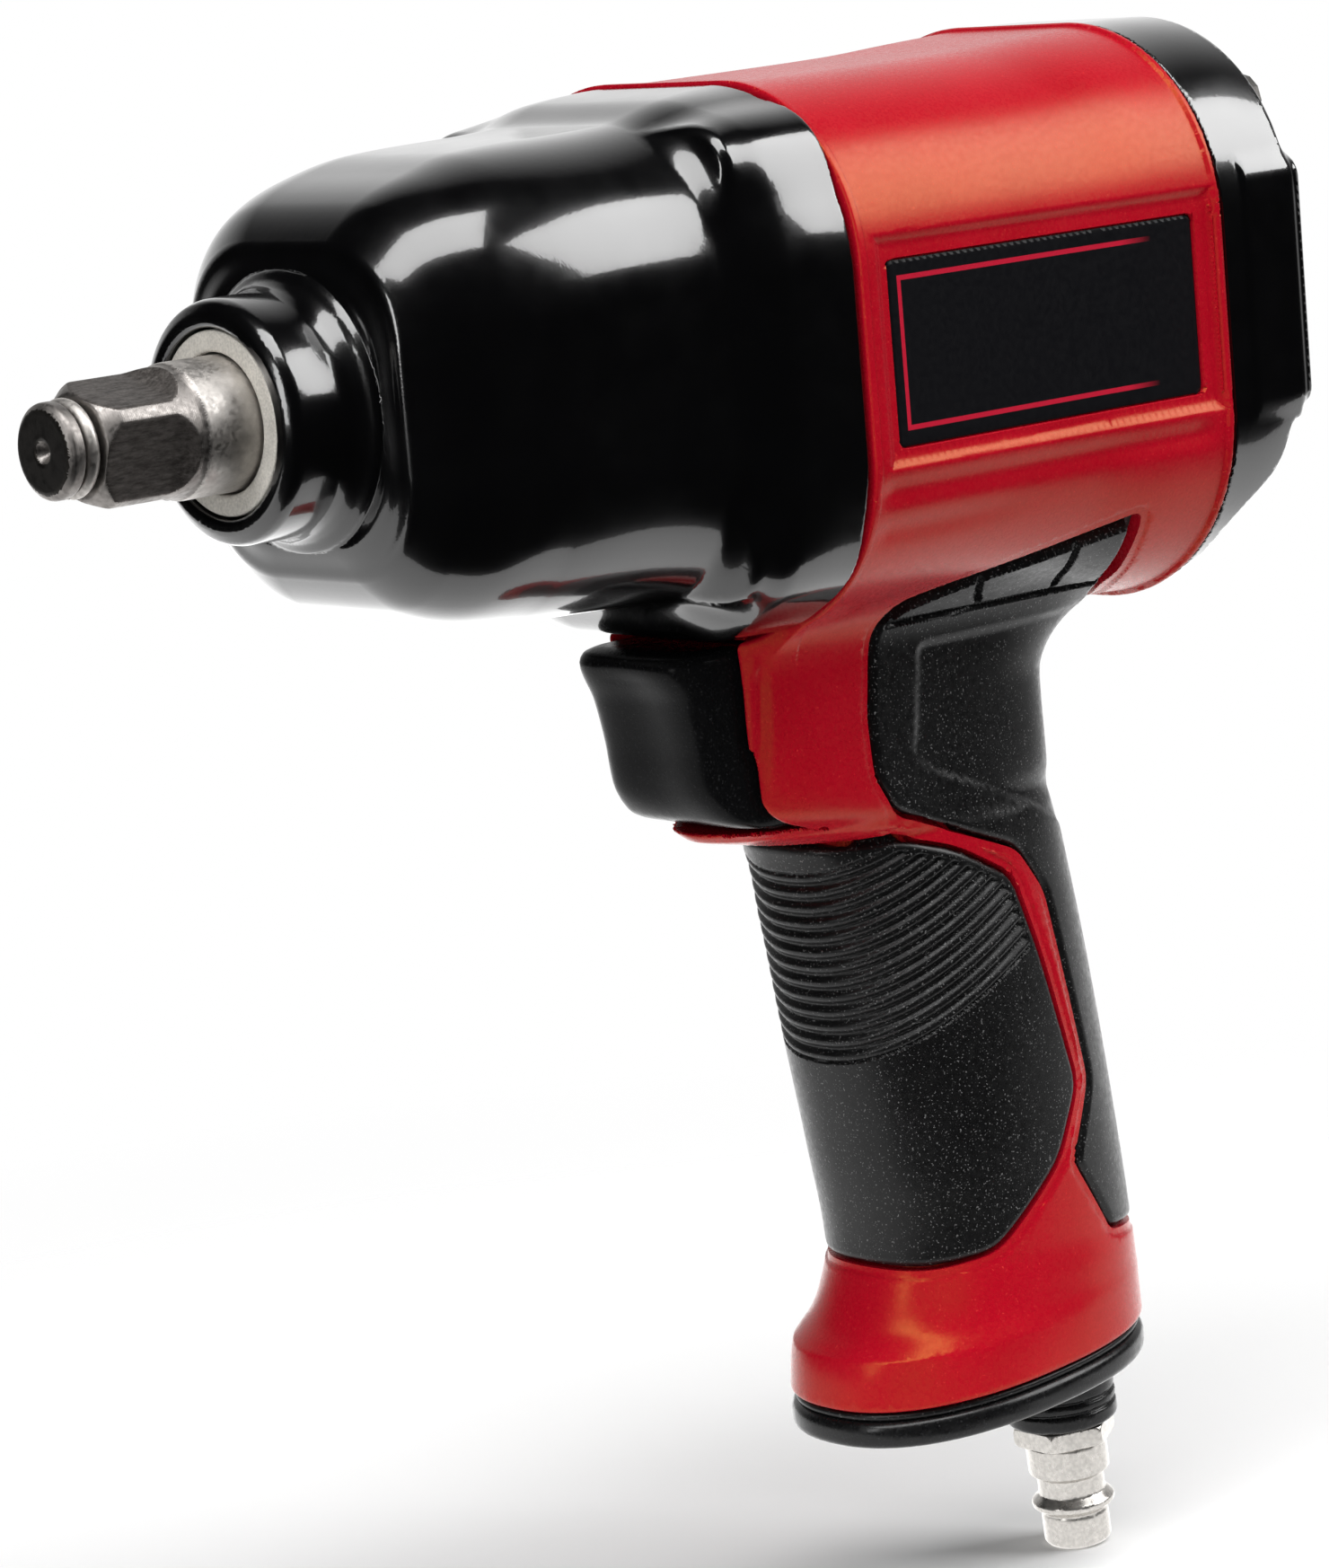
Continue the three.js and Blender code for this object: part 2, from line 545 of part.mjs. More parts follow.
function housingSolid(inset) {
  const barrel = loft(BARREL_SECTIONS.map((section) => bodyRing(section, inset)));
  const handle = loft(HANDLE_SECTIONS.map((section) => handleRing(section, inset)));
  const underCase = box(FRONT_SEAM, 0, -WIDE, WIDE, POCKET.top, WIDE);
  return barrel.add(handle.subtract(underCase));
}

// Side outlines of the overmoulds; each is grown by the gap to cut its recess.
const FRONT_GRIP_OUTLINE = [
  [-95, -68], [-110, -67.4], [-119, -66.6], [-128, -69.6], [-137.6, -75], [-141.6, -86],
  [-147.4, -106], [-142.4, -116], [-131, -126.4], [-122, -128], [-100, -126],
];
const REAR_GRIP_OUTLINE = [
  [-115.4, -38.6], [-114, -50], [-114.4, -58], [-118, -64], [-138.6, -72], [-143.6, -78.6], [-149.6, -106],
  [-144.8, -116.6], [-152.4, -128.2], [-180, -131], [-180, -44], [-163, -43.4], [-157.4, -39.6],
  [-154.4, -34], [-152.6, -27.8], [-118.6, -35.3],
];

function grown(outline, distance) {
  const count = outline.length;
  const area = outline.reduce((sum, [x, z], i) => {
    const [u, w] = outline[(i + 1) % count];
    return sum + x * w - u * z;
  }, 0);
  const sign = Math.sign(area);
  const normal = ([x0, z0], [x1, z1]) => {
    const length = Math.hypot(x1 - x0, z1 - z0);
    return [sign * (z1 - z0) / length, -sign * (x1 - x0) / length];
  };
  return outline.map((point, i) => {
    const before = normal(outline[(i + count - 1) % count], point);
    const after = normal(point, outline[(i + 1) % count]);
    const scale = distance / (1 + before[0] * after[0] + before[1] * after[1]);
    return [point[0] + scale * (before[0] + after[0]), point[1] + scale * (before[1] + after[1])];
  });
}

// Direction of the nipple's axis, pointing out of the tool.
function inletAxis() {
  const tilt = rad(NIPPLE.tilt);
  return new THREE.Vector3(-Math.sin(tilt), 0, -Math.cos(tilt));
}

// Puts a piece turned about X on the inlet axis; its x is the distance past the nipple's ridge.
function onInlet(manifold) {
  return placed(manifold, NIPPLE_RIDGE, inletAxis());
}

function alongHandle(manifold, x, z) {
  return placed(manifold, new THREE.Vector3(x, 0, z), new THREE.Vector3(-8, 0, -100));
}

function triggerPocket() {
  const p = POCKET;
  return box(p.back, p.front, -p.half, p.half, p.floor, p.top);
}

function housing(outer, core) {
  const recess = (outline) => sidePrism(grown(outline, GAP), WIDE).subtract(core);
  const bore = rod(REAR_SEAM - OVERRUN, FRONT_SEAM + OVERRUN, MOTOR.shellR + GAP, 32);
  const chamber = rod(CHAMBER.back, POCKET.back + OVERRUN, CHAMBER.radius);
  const inlet = alongHandle(rod(0, 90, 4.6, SMALL_ROUND), -144.5, TRIGGER.axisZ - 5);
  const exhaust = alongHandle(rod(0, 118, EXHAUST.radius, SMALL_ROUND), -128, -20);
  const side = EXHAUST.side;
  let body = outer
    .subtract(recess(FRONT_GRIP_OUTLINE))
    .subtract(recess(REAR_GRIP_OUTLINE))
    .subtract(labelWindow(GAP).subtract(housingSolid(LABEL_DEPTH)))
    .subtract(bore)
    .subtract(triggerPocket())
    .subtract(chamber.translate([0, 0, TRIGGER.axisZ]))
    .subtract(inlet)
    .subtract(exhaust.translate([0, side, 0]))
    .subtract(exhaust.translate([0, -side, 0]))
    .subtract(feltBlock(0))
    .subtract(onInlet(rod(-46, 40, INLET_SEAT_R)));
  body = drillFoot(body);
  return drillBolts(body, BEHIND, BOLT.tip);
}

function feltBlock(inset) {
  const f = FELT;
  const low = f.top - 11;
  return box(f.back + inset, f.front - inset, inset - f.half, f.half - inset, low + inset, f.top - inset);
}

function labelWindow(margin) {
  const [front, back, top, low] = [-107 + margin, -162.4 - margin, 10.6 + margin, -13.2 - margin];
  return box(back, front, -WIDE, WIDE, low, top);
}

// ---------------------------------------------------------------- trigger and throttle

// Upright cylinder at a point of the foot, for its screws and their holes.
function upright(x, y, top, bottom, radius) {
  return rod(bottom, top, radius, SMALL_ROUND).rotate([0, -90, 0]).translate([x, y, 0]);
}

// Trigger sections from its top lip down: height and front limit.
const TRIGGER_SECTIONS = [
  [TRIGGER.top, -88.2], [-38.6, -86.7], [-40, -86.4], [-45, -88.4], [-51, -89.8], [-56.4, -90.6],
  [-60.2, -92.8], [-62.1, -96], [-62.7, -100],
];

function addTrigger() {
  const t = TRIGGER;
  const onAxis = (manifold) => manifold.translate([0, 0, t.axisZ]);
  const body = loft(TRIGGER_SECTIONS.map(([z, front], i) => (
    handleRing({ z, front, back: t.back, half: t.half, power: 4.5 }, i === 0 ? 0.8 : 0))));
  const socket = onAxis(rod(t.back - OVERRUN, -98, t.rodR + GAP, SMALL_ROUND));
  addPiece('trigger', body.subtract(socket), MATERIAL.plastic);
  addPiece('trigger_rod', onAxis(rod(t.rodBack, -98.4, t.rodR, SMALL_ROUND)), MATERIAL.nickel);
  addPiece('trigger_spring', onAxis(coilSpring(-115.2, -107.8, 4.2, 0.6, 4)), MATERIAL.steel);
  const insert = (from, to, inner) => onAxis(tube(from, to, CHAMBER.radius - GAP, inner, 16));
  addPiece('trigger_bush', insert(-124, -116.6, t.rodR + GAP), MATERIAL.bronze);
  addPiece('throttle_seat', insert(-131.6, -128, 3.4), MATERIAL.bronze);
  const valve = turned([
    [-127.3, 0], [-127.3, 2], [-132, 2], [-132, 5.2], [-134.4, 5.2], [-134.4, 2.4], [-140, 2.4], [-140, 0],
  ], 16);
  addPiece('throttle_valve', onAxis(valve), MATERIAL.nickel);
  addPiece('throttle_spring', onAxis(coilSpring(-147.8, -135.2, 3.8, 0.6, 5)), MATERIAL.steel);
}

// ---------------------------------------------------------------- foot and air inlet

function drillFoot(body) {
  return FOOT_SCREWS.reduce((left, [x, y]) => (
    left.subtract(upright(x, y, FOOT.seamZ + 6, FOOT.seamZ - 20, 1.7))), body);
}

function footRing(drop, inset = 0) {
  const seam = HANDLE_SECTIONS[HANDLE_SECTIONS.length - 1];
  return handleRing({ ...seam, z: seam.z - GAP - drop }, inset);
}

function exhaustSlots() {
  const f = FELT;
  return [-5.4, 0, 5.4].map((y) => box(f.back + 1.4, f.front - 1.4, y - 1.5, y + 1.5, -170, -130));
}

function addFoot() {
  const f = FOOT;
  const opened = (layer) => drillFoot(layer).subtract(onInlet(rod(-60, 0, INLET_SEAT_R)));
  const gasket = opened(loft([footRing(0, 0.6), footRing(f.gasket, 0.6)]));
  const window = box(FELT.back, FELT.front, -FELT.half, FELT.half, -170, -130);
  addPiece('foot_gasket', gasket.subtract(window), MATERIAL.rubber);
  const top = f.gasket + GAP;
  const plate = opened(loft([
    footRing(top, f.edge), footRing(top + f.edge), footRing(f.plate - f.edge), footRing(f.plate, f.edge),
  ]));
  let screwed = exhaustSlots().reduce((left, slot) => left.subtract(slot), plate);
  FOOT_SCREWS.forEach(([x, y], i) => {
    const base = footBottom(x);
    screwed = screwed.subtract(upright(x, y, base + 2.2, base - 9, 3.3));
    const screw = upright(x, y, base + 8.6, base + 1.9, 1.4).add(upright(x, y, base + 1.9, base + 0.2, 3))
      .subtract(upright(x, y, base + 1.2, base - 1, 1.3));
    addPiece(`foot_screw_${i + 1}`, screw, MATERIAL.darkSteel);
  });
  addPiece('foot_plate', screwed, MATERIAL.plastic);
}

// Height of the foot plate's lower face at x.
function footBottom(x) {
  const seam = HANDLE_SECTIONS[HANDLE_SECTIONS.length - 1];
  const middle = (seam.front + seam.back) / 2;
  return seam.z - GAP - FOOT.plate - (x - middle) * Math.tan(rad(FOOT.tilt));
}

// Distances are along the inlet axis from the nipple's ridge, positive out of the tool.
function addInlet() {
  const n = NIPPLE;
  const bushing = turned([
    [-40, 4.4], [-40, 7.3], [-21.2, 7.3], [-21.2, 7.9], [-12.6, 7.9], [-12.2, 7.5], [-12.2, 5.6],
    [-26, 5.6], [-26, 4.4], [-40, 4.4],
  ]);
  addPiece('inlet_bushing', onInlet(bushing), MATERIAL.plastic);
  const nipple = turned([
    [-25, n.boreR], [-25, 5.3], [-9.4, 5.3], [-8.8, n.bodyR], [-4.6, n.bodyR], [-4, n.grooveR],
    [-1.4, n.grooveR], [-0.3, n.ridgeR], [0.3, n.ridgeR], [1.3, n.grooveR - 0.2], [1.8, n.tipR],
    [5.6, n.tipR], [6.14, n.tipR - 0.5], [6.14, n.boreR], [-25, n.boreR],
  ]);
  const hexagon = tube(-11.9, -9.2, 6.9, n.boreR + 0.5, 6);
  addPiece('air_nipple', onInlet(nipple.add(hexagon)), MATERIAL.nickel);
  const bar = box(-41.4, -40.4, -6.4, 6.4, -0.6, 0.6);
  const screen = [0, 60, 120].reduce((left, turn) => left.add(bar.rotate([turn, 0, 0])),
    tube(-41.4, -40.4, 7.2, 5.6, 16));
  addPiece('inlet_screen', onInlet(screen), MATERIAL.nickel);
}

function addHousing() {
  const outer = housingSolid(0);
  const core = housingSolid(SHELL);
  const inner = housingSolid(SHELL - GAP);
  const grip = (outline) => outer.intersect(sidePrism(outline, WIDE)).subtract(inner);
  addPiece('motor_housing', housing(outer, core), MATERIAL.red);
  addPiece('front_grip', grip(FRONT_GRIP_OUTLINE), MATERIAL.rubber);
  addPiece('rear_grip', grip(REAR_GRIP_OUTLINE), MATERIAL.rubber);
  const plates = outer.intersect(labelWindow(0)).subtract(housingSolid(LABEL_DEPTH - GAP));
  addPiece('label_left', plates.intersect(box(BEHIND, 0, 0, WIDE, -WIDE, WIDE)), MATERIAL.label);
  addPiece('label_right', plates.intersect(box(BEHIND, 0, -WIDE, 0, -WIDE, WIDE)), MATERIAL.label);
  addPiece('muffler_felt', feltBlock(GAP), MATERIAL.felt);
}

addClutch();
addPiece('hammer_case', hammerCase(), MATERIAL.paint);
addMotor();
addReverseValve();
addRearCover();
addHousing();
addTrigger();
addFoot();
addInlet();

export default tool;
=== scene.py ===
"""Visual model of the impact wrench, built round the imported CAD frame.

Shapes are worked out in millimetres as signed fields (negative inside), in the CAD frame: +X forward
along the drive axis, +Z up, +Y the tool's left side. make_object() turns them into metres.
"""
import json
import math

import bpy
import numpy as np
from mathutils import Matrix, Vector


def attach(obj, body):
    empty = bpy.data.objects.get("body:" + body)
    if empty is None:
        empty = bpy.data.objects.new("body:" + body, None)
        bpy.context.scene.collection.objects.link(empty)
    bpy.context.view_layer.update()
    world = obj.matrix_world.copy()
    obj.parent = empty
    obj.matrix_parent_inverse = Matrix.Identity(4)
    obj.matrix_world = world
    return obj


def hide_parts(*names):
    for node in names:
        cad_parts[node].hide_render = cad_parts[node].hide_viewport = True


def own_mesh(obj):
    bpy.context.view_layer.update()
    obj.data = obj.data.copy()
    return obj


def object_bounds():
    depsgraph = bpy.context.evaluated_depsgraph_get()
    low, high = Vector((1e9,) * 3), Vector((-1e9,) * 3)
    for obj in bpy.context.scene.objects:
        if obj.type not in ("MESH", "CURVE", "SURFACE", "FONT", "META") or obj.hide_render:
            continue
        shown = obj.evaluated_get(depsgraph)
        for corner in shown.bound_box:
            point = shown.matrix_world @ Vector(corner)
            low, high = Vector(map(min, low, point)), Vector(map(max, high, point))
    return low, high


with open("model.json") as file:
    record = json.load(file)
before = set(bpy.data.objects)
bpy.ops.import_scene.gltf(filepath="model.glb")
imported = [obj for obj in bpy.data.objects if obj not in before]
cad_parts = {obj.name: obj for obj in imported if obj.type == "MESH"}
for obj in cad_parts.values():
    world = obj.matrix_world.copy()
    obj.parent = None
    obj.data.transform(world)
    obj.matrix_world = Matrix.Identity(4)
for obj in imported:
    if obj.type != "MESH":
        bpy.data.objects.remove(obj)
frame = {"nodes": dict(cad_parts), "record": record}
CAD_LOW, CAD_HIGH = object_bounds()
NODES = frame["nodes"]
MM = 0.001

# ---- camera

# Millimetres and degrees.
CAMERA_PLACE = (361.08, 524.22, 62.63)
CAMERA_YAW, CAMERA_RISE, CAMERA_ROLL = 40.839, 9.72, -4.929
SENSOR, LENS = 36.0, 123.71134


def new_object(name, data):
    made = bpy.data.objects.new(name, data)
    bpy.context.scene.collection.objects.link(made)
    return made


def add_camera():
    yaw, rise, roll = (math.radians(a) for a in (CAMERA_YAW, CAMERA_RISE, CAMERA_ROLL))
    back = Vector((math.sin(yaw) * math.cos(rise), math.cos(yaw) * math.cos(rise), math.sin(rise)))
    level = (-back).cross(Vector((0, 0, 1))).normalized()
    lift = level.cross(-back)
    right = math.cos(roll) * level + math.sin(roll) * lift
    up = -math.sin(roll) * level + math.cos(roll) * lift
    data = bpy.data.cameras.new("camera")
    data.sensor_fit = "AUTO"
    data.sensor_width, data.lens = SENSOR, LENS
    data.clip_start, data.clip_end = 0.01, 50
    camera = new_object("camera", data)
    turn = Matrix((right, up, back)).transposed().to_4x4()
    camera.matrix_world = Matrix.Translation(Vector(CAMERA_PLACE) * MM) @ turn
    bpy.context.scene.camera = camera


# ---- fields


def smooth_min(a, b, k):
    """The smaller of two fields, blended where they differ by less than k."""
    h = np.clip(0.5 + 0.5 * (b - a) / k, 0, 1)
    return b + (a - b) * h - k * h * (1 - h)


def smooth_max(a, b, k):
    return -smooth_min(-a, -b, k)


def cut(body, hollow, k):
    return smooth_max(body, -hollow, k)


def step(low, high, v):
    """0 below low, 1 above high, and a soft rise between."""
    t = np.clip((v - low) / (high - low), 0, 1)
    return t * t * (3 - 2 * t)


def track(stations, values):
    """Smooth curve through stations that never overshoots them, as a function of position."""
    x, y = np.array(stations, float), np.array(values, float)
    if x[0] > x[-1]:
        x, y = x[::-1], y[::-1]
    gap, slope = np.diff(x), np.diff(y) / np.diff(x)
    m = np.concatenate([slope[:1], np.zeros(len(x) - 2), slope[-1:]])
    rising = slope[:-1] * slope[1:] > 0
    wa, wb = 2 * gap[1:] + gap[:-1], gap[1:] + 2 * gap[:-1]
    safe_a = np.where(rising, slope[:-1], 1)
    safe_b = np.where(rising, slope[1:], 1)
    m[1:-1] = np.where(rising, (wa + wb) / (wa / safe_a + wb / safe_b), 0)
    dense = np.linspace(x[0], x[-1], 4001)
    i = np.clip(np.searchsorted(x, dense) - 1, 0, len(gap) - 1)
    t, g = (dense - x[i]) / gap[i], gap[i]
    curve = ((1 + 2 * t) * (1 - t) ** 2 * y[i] + t * (1 - t) ** 2 * g * m[i]
             + t * t * (3 - 2 * t) * y[i + 1] + t * t * (t - 1) * g * m[i + 1])
    return lambda v: np.interp(v, dense, curve)


def tracks(rows):
    """One smooth curve for each column of the rows after the first, which holds the stations."""
    stations, *columns = zip(*rows)
    return [track(stations, column) for column in columns]


def rounded_section(y, z, half, top, bottom, corner):
    """Rounded rectangle across the barrel."""
    middle, tall = (top - bottom) / 2, (top + bottom) / 2
    qy, qz = np.abs(y) - (half - corner), np.abs(z - middle) - (tall - corner)
    outside = np.hypot(np.maximum(qy, 0), np.maximum(qz, 0))
    return outside + np.minimum(np.maximum(qy, qz), 0) - corner


def superellipse(u, v, a, b, power):
    """Distance along the ray from the centre to the superellipse's edge."""
    r = np.hypot(u, v)
    g = (np.abs(u / a) ** power + np.abs(v / b) ** power) ** (1 / power)
    return r - np.where(g > 0.05, r / np.maximum(g, 0.05), np.minimum(a, b))


def slab(v, low, high):
    return np.maximum(low - v, v - high)


def cuboid(p, x0, x1, y0, y1, z0, z1, k=0.6):
    x, y, z = p.T
    return smooth_max(smooth_max(slab(x, x0, x1), slab(y, y0, y1), k), slab(z, z0, z1), k)


def rod_x(p, radius, z=0):
    return np.hypot(p[:, 1], p[:, 2] - z) - radius


def to_segment(u, v, start, end):
    """Distance to the straight line between two places."""
    (ax, ay), (bx, by) = start, end
    ex, ey = bx - ax, by - ay
    t = np.clip(((u - ax) * ex + (v - ay) * ey) / (ex * ex + ey * ey), 0, 1)
    return np.hypot(u - ax - t * ex, v - ay - t * ey)


def distance_to(outline, u, v):
    """Signed distance to a closed outline, negative inside."""
    best = np.full(len(u), 1e9)
    inside = np.zeros(len(u), bool)
    for (ax, ay), (bx, by) in zip(outline, np.roll(outline, -1, axis=0)):
        best = np.minimum(best, to_segment(u, v, (ax, ay), (bx, by)))
        crosses = (ay > v) != (by > v)
        inside ^= crosses & (u < ax + (v - ay) * (bx - ax) / np.where(by == ay, 1, by - ay))
    return np.where(inside, -best, best)


def rounded(outline, trim=2.5, steps=5):
    """The closed outline with each corner turned into a curve that starts at most trim away from it."""
    points = np.array(outline, float)
    made = []
    for before, corner, after in zip(np.roll(points, 1, axis=0), points, np.roll(points, -1, axis=0)):
        ends = []
        for other in (before, after):
            reach = np.linalg.norm(other - corner)
            ends.append(corner + (other - corner) * min(trim, 0.45 * reach) / reach)
        for t in np.linspace(0, 1, steps):
            made.append((1 - t) ** 2 * ends[0] + 2 * t * (1 - t) * corner + t * t * ends[1])
    return np.array(made)


# ---- meshes from fields

AXES = np.eye(3)
BEND, SNAP = 25, 0.1


def gradient(field, points, reach=0.04):
    return np.stack([(field(points + reach * a) - field(points - reach * a)) / (2 * reach)
                     for a in AXES], 1)


def unit(v):
    return v / np.maximum(np.linalg.norm(v, axis=-1, keepdims=True), 1e-9)


def settle(field, points, rounds=3):
    """Moves points onto the field's zero surface."""
    for _ in range(rounds):
        slope = gradient(field, points)
        steep = np.maximum((slope * slope).sum(1), 0.1)
        points = points - np.clip(field(points) / steep, -1, 1)[:, None] * slope
    return points


def surface_net(field, low, high, cell):
    """Closed triangle skin of the region where the field is negative."""
    counts = [math.ceil((h - l) / cell) + 1 for l, h in zip(low, high)]
    lines = [l + cell * np.arange(n) for l, n in zip(low, counts)]
    y, z = (g.ravel() for g in np.meshgrid(lines[1], lines[2], indexing="ij"))
    sheets = [field(np.stack([np.full(y.size, x), y, z], 1)) for x in lines[0]]
    values = np.stack(sheets).reshape(counts)
    shape = [n - 1 for n in counts]
    total, hits = np.zeros(shape + [3]), np.zeros(shape)
    crossings = []
    for axis in range(3):
        u, v = (axis + 1) % 3, (axis + 2) % 3
        a = np.moveaxis(values, (axis, u, v), (0, 1, 2))
        first, second = a[:-1], a[1:]
        found = np.argwhere((first < 0) != (second < 0))
        near, far = first[tuple(found.T)], second[tuple(found.T)]
        base = np.empty_like(found)
        base[:, [axis, u, v]] = found
        place = base.astype(float)
        place[:, axis] += near / (near - far)
        around = []
        for du, dv in ((0, 0), (1, 0), (1, 1), (0, 1)):
            spot = base.copy()
            spot[:, u] -= du
            spot[:, v] -= dv
            np.add.at(total, tuple(spot.T), place)
            np.add.at(hits, tuple(spot.T), 1)
            around.append(np.ravel_multi_index(tuple(spot.T), shape))
        quads = np.stack(around, 1)
        quads[near >= 0] = quads[near >= 0][:, ::-1]
        crossings.append(quads)
    used = hits.ravel() > 0
    number = np.cumsum(used) - 1
    points = (total.reshape(-1, 3)[used] / hits.ravel()[used][:, None]) * cell + np.array(low)
    points = settle(field, points)
    quads = number[np.concatenate(crossings)]
    return points, halve(points, quads)


def halve(points, quads):
    """Two triangles from each quad, across its shorter diagonal."""
    a, b, c, d = (points[quads[:, k]] for k in range(4))
    short = np.linalg.norm(a - c, axis=1) < np.linalg.norm(b - d, axis=1)
    one, other = quads[short], quads[~short]
    return np.concatenate([one[:, [0, 1, 2]], one[:, [0, 2, 3]],
                           other[:, [0, 1, 3]], other[:, [1, 2, 3]]])


def edge_numbers(faces, count):
    """Each face's three edges as numbers, and the two ends of every edge."""
    pairs = np.sort(np.stack([faces, np.roll(faces, -1, axis=1)], 2).reshape(-1, 2), 1)
    key, inverse = np.unique(pairs[:, 0] * count + pairs[:, 1], return_inverse=True)
    return inverse.reshape(-1, 3), key // count, key % count


def cut_faces(faces, marks):
    """Cuts triangles at the vertices marked on their edges (-1 where there is none)."""
    amount = (marks >= 0).sum(1)
    made = [faces[amount == 0]]
    for want, patterns in (
        (1, ("a p c", "p b c")),
        (2, ("p b q", "a p q", "a q c")),
        (3, ("a p r", "p b q", "r q c", "p q r")),
    ):
        f, m = faces[amount == want], marks[amount == want]
        # Each triangle is turned to start at a marked edge that follows an unmarked one.
        turn = np.argmax((m >= 0) & (np.roll(m, 1, axis=1) < 0), axis=1)
        order = (turn[:, None] + np.arange(3)) % 3
        f, m = np.take_along_axis(f, order, 1), np.take_along_axis(m, order, 1)
        corner = dict(zip("abcpqr", np.concatenate([f, m], 1).T))
        made += [np.stack([corner[k] for k in p.split()], 1) for p in patterns]
    return np.concatenate(made)


def split(points, faces, number, chosen, fresh):
    """Cuts the faces at fresh points, one on each chosen edge."""
    mark = np.full(len(chosen), -1)
    mark[chosen] = len(points) + np.arange(len(fresh))
    return np.concatenate([points, fresh]), cut_faces(faces, mark[number])


def refine(field, points, faces, size, rounds, least):
    """Splits the edges that are longer than size(their middles), and those longer than least whose
    ends face directions more than BEND degrees apart."""
    for _ in range(rounds):
        number, a, b = edge_numbers(faces, len(points))
        middle = (points[a] + points[b]) / 2
        length = np.linalg.norm(points[a] - points[b], axis=1)
        facing = unit(gradient(field, points))
        turns = (facing[a] * facing[b]).sum(1) < math.cos(math.radians(BEND))
        long = (length > size(middle)) | (turns & (length > least))
        if not long.any():
            break
        points, faces = split(points, faces, number, long, settle(field, middle[long], 2))
    return points, faces


def trace(field, points, faces, value, level):
    """Puts vertices along the line where value equals level, so no face crosses it."""
    d = value(points) - level
    near = np.abs(d) < SNAP
    points = points.copy()
    points[near] = settle(lambda p: value(p) - level, points[near], 1)
    d[near] = 0
    number, a, b = edge_numbers(faces, len(points))
    crossed = d[a] * d[b] < 0
    share = (d[a] / np.where(crossed, d[a] - d[b], 1))[crossed][:, None]
    fresh = points[a][crossed] * (1 - share) + points[b][crossed] * share
    return split(points, faces, number, crossed, settle(field, fresh))


def face_normals(points, faces):
    a, b, c = (points[faces[:, k]] for k in range(3))
    return np.cross(b - a, c - a)


def corner_normals(points, faces, smooth, limit):
    """The smooth normal at each corner, or the face's own where the two differ by more than limit."""
    flat = unit(face_normals(points, faces))
    corner = smooth[faces]
    sharp = (corner * flat[:, None]).sum(2) < math.cos(math.radians(limit))
    corner[sharp] = np.broadcast_to(flat[:, None], corner.shape)[sharp]
    return corner.reshape(-1, 3)


def make_object(name, points, faces, normals, body, slot, replaces, materials=None, kinds=None):
    """A piece of the tool: its mesh in metres, on its body, with the given materials or else the look of
    its slot.
    """
    mesh = bpy.data.meshes.new(name)
    mesh.from_pydata(points * MM, [], faces)
    for made in materials or [LOOKS[slot]]:
        mesh.materials.append(made)
    if kinds is not None:
        mesh.polygons.foreach_set("material_index", kinds.astype(np.int32))
    mesh.update()
    mesh.shade_smooth()
    mesh.normals_split_custom_set(normals.astype(np.float32))
    piece = new_object(name, mesh)
    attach(piece, body)
    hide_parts(*replaces)
    return piece


def skin(field, low, high, cell, size, rounds, least, rings):
    """Refined mesh of the field's zero, with edges along the sections at the x values in rings. An
    edge may be as long as size(its middle), or two cells where there is no size."""
    points, faces = surface_net(field, low, high, cell)
    wanted = size or (lambda p: 2 * cell)
    points, faces = refine(field, points, faces, wanted, rounds, least)
    for ring in rings:
        points, faces = trace(field, points, faces, lambda p: p[:, 0], ring)
    return points, faces


def field_piece(name, node, field, box, cell, body, slot, size=None, rounds=2, least=0.3, rings=(),
                materials=None, kind=None):
    """A piece in place of a CAD node, whose surface is the field's zero, worked out inside
    box = (low corner, high corner). Each face takes the material that kind numbers."""
    points, faces = skin(field, *box, cell, size, rounds, least, rings)
    kinds = kind and kind(points[faces].mean(1))
    normals = corner_normals(points, faces, unit(gradient(field, points)), 60)
    make_object(name, points, faces, normals, body, slot, [node], materials, kinds)


# ---- dimensions of the tool

GAP = 0.3
FRONT_SEAM, REAR_SEAM, TOOL_BACK = -101.3, -167.0, -189.4
# Rounded sections across the barrel: x, half width, top, bottom and corner.
CASE_ROWS = [
    (-37.2, 17.4, 17.1, 17.4, 11.4), (-38, 19.3, 18.9, 19.3, 12.2), (-38.25, 20.4, 20, 20.4, 12.6),
    (-38.9, 21.4, 21, 21.4, 13.2), (-43, 25.2, 24.9, 25.2, 16),
    (-50, 27.8, 27.6, 27.8, 18), (-58, 29, 29.4, 29, 20), (-82, 30, 30.4, 30.6, 20),
    (-91, 33.4, 32.8, 36.4, 22), (-101, 34.5, 33.8, 37, 24),
]
BARREL_ROWS = [
    (-101.3, 35, 34.2, 37.2, 24), (-120, 35.2, 34.4, 36.8, 24), (-142, 35.4, 34.8, 38, 24.4),
    (-156, 35.8, 35.6, 40.4, 25), (-166.7, 36, 36.2, 42.2, 26),
]
COVER_ROWS = [
    (-167, 35.8, 36, 42, 26), (-180.4, 35.6, 35.8, 39.6, 26), (-181.8, 34.4, 34.6, 38.2, 25),
    (-184, 29.4, 30, 32, 21), (-187.6, 20, 21, 22, 15),
]
BAND_ROWS = [
    (-172, 35.6, 16.8, 18, 3.2), (-182.2, 35.6, 16.8, 18, 3.2), (-183.8, 34.4, 15.8, 17.2, 3),
    (-187, 30, 15, 16.2, 3), (-189.4, 23, 14, 15, 3),
]
# What the cover lacks at its lower rear: x and z.
COVER_SLANT = rounded([
    (-200, -18.4), (-178.9, -18.9), (-178.2, -23), (-176.8, -26), (-173.4, -29), (-170.4, -32.4),
    (-169.4, -36), (-168.8, -46), (-200, -46),
], 1.6, 4)
